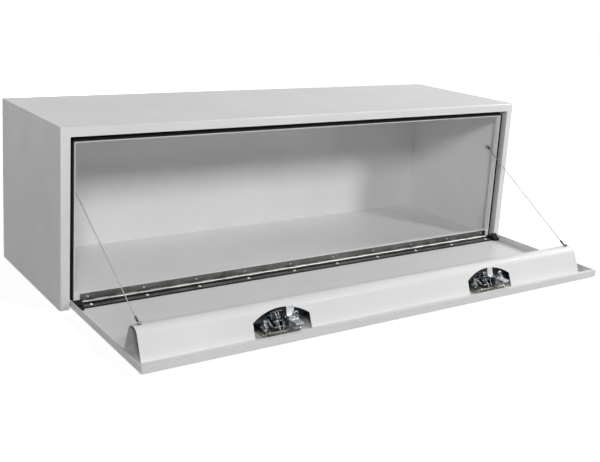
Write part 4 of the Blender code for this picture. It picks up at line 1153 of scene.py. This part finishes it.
for side, turn in (("left", -1), ("right", 1)):
    makeLatch(side, turn)
print("latches fitted")


# floor, world and lamps
studio = {
    "floorSize": 14,
    "floorDrop": 0.0006,
    "floorLight": (0.8, 1.0),
    "floorReach": (1.3, 3.2),
    "floorColour": 0.4,
    "floorSeenColour": 0.5,
    "ambient": 0.0,
    "lamps": (
        ("frontLeftLamp", (-1.8, -3.0, 1.95), (-0.1, 0.0, 0.15), 0.7, 53),
        ("frontRightLamp", (2.0, -3.0, 1.95), (0.1, 0.0, 0.15), 0.7, 46),
        ("rightLamp", (4.0, -0.75, 2.0), (0.1, 0.0, 0.15), 1.25, 80),
        ("rightBackLamp", (3.6, 0.6, 1.6), (0.3, 0.0, 0.3), 1.4, 9),
        ("edgeLamp", (3.9, -0.95, 3.3), (0.3, -0.5, 0.1), 0.12, 12),
        ("leftLamp", (-3.8, 0.4, 1.3), (-0.5, 0.0, 0.2), 1.4, 4),
        ("backLamp", (0.1, 3.4, 0.8), (0.0, 0.2, 0.2), 1.8, 55),
    ),
}


def makeFloor():
    shape = bmesh.new()
    bmesh.ops.create_grid(shape, x_segments=1, y_segments=1, size=studio["floorSize"])
    mesh = bpy.data.meshes.new("floor")
    shape.to_mesh(mesh)
    shape.free()
    floor = bpy.data.objects.new("floor", mesh)
    floor.location.z = -studio["floorDrop"]
    scene.collection.objects.link(floor)
    material = bpy.data.materials.new("paleFloor")
    material.use_nodes = True
    tree = material.node_tree
    tree.nodes.remove(tree.nodes["Principled BSDF"])
    out = tree.nodes["Material Output"]
    path = tree.nodes.new("ShaderNodeLightPath")
    seen = math2(tree, "MAXIMUM", path.outputs["Is Camera Ray"], path.outputs["Is Glossy Ray"])
    plain = tree.nodes.new("ShaderNodeBsdfDiffuse")
    plain.inputs["Color"].default_value = (*[studio["floorColour"]] * 3, 1)
    grey = tree.nodes.new("ShaderNodeBsdfDiffuse")
    grey.inputs["Color"].default_value = (*[studio["floorSeenColour"]] * 3, 1)
    glow = tree.nodes.new("ShaderNodeEmission")
    place = tree.nodes.new("ShaderNodeTexCoord").outputs["Object"]
    away = vector2(tree, "DISTANCE", place, (0.0, 0.0, 0.0))
    strength = rangeOf(tree, away, *studio["floorLight"], *studio["floorReach"])
    tree.links.new(strength, glow.inputs["Strength"])
    both = tree.nodes.new("ShaderNodeAddShader")
    mix = tree.nodes.new("ShaderNodeMixShader")
    tree.links.new(grey.outputs[0], both.inputs[0])
    tree.links.new(glow.outputs[0], both.inputs[1])
    tree.links.new(seen, mix.inputs[0])
    tree.links.new(plain.outputs[0], mix.inputs[1])
    tree.links.new(both.outputs[0], mix.inputs[2])
    tree.links.new(mix.outputs[0], out.inputs["Surface"])
    mesh.materials.append(material)


def makeWorld():
    world = bpy.data.worlds.new("paleWorld")
    world.use_nodes = True
    tree = world.node_tree
    background = tree.nodes["Background"]
    background.inputs["Color"].default_value = (1, 1, 1, 1)
    path = tree.nodes.new("ShaderNodeLightPath")
    seen = math2(tree, "MAXIMUM", path.outputs["Is Camera Ray"], path.outputs["Is Transmission Ray"])
    seen = math2(tree, "MAXIMUM", seen, path.outputs["Is Glossy Ray"])
    tree.links.new(rangeOf(tree, seen, studio["ambient"], 1, 0, 1), background.inputs["Strength"])
    scene.world = world


def makeLamps():
    for name, place, target, size, power in studio["lamps"]:
        data = bpy.data.lights.new(name, "AREA")
        data.shape, data.size, data.energy = "DISK", size, power
        lamp = bpy.data.objects.new(name, data)
        lamp.location = place
        lamp.visible_glossy = name != "backLamp"  # the top would mirror it as a white patch
        lamp.rotation_mode = "QUATERNION"
        lamp.rotation_quaternion = (Vector(target) - Vector(place)).to_track_quat("-Z", "Y")
        scene.collection.objects.link(lamp)


makeFloor()
makeWorld()
makeLamps()
scene.view_settings.view_transform = "Standard"
print("studio lit")
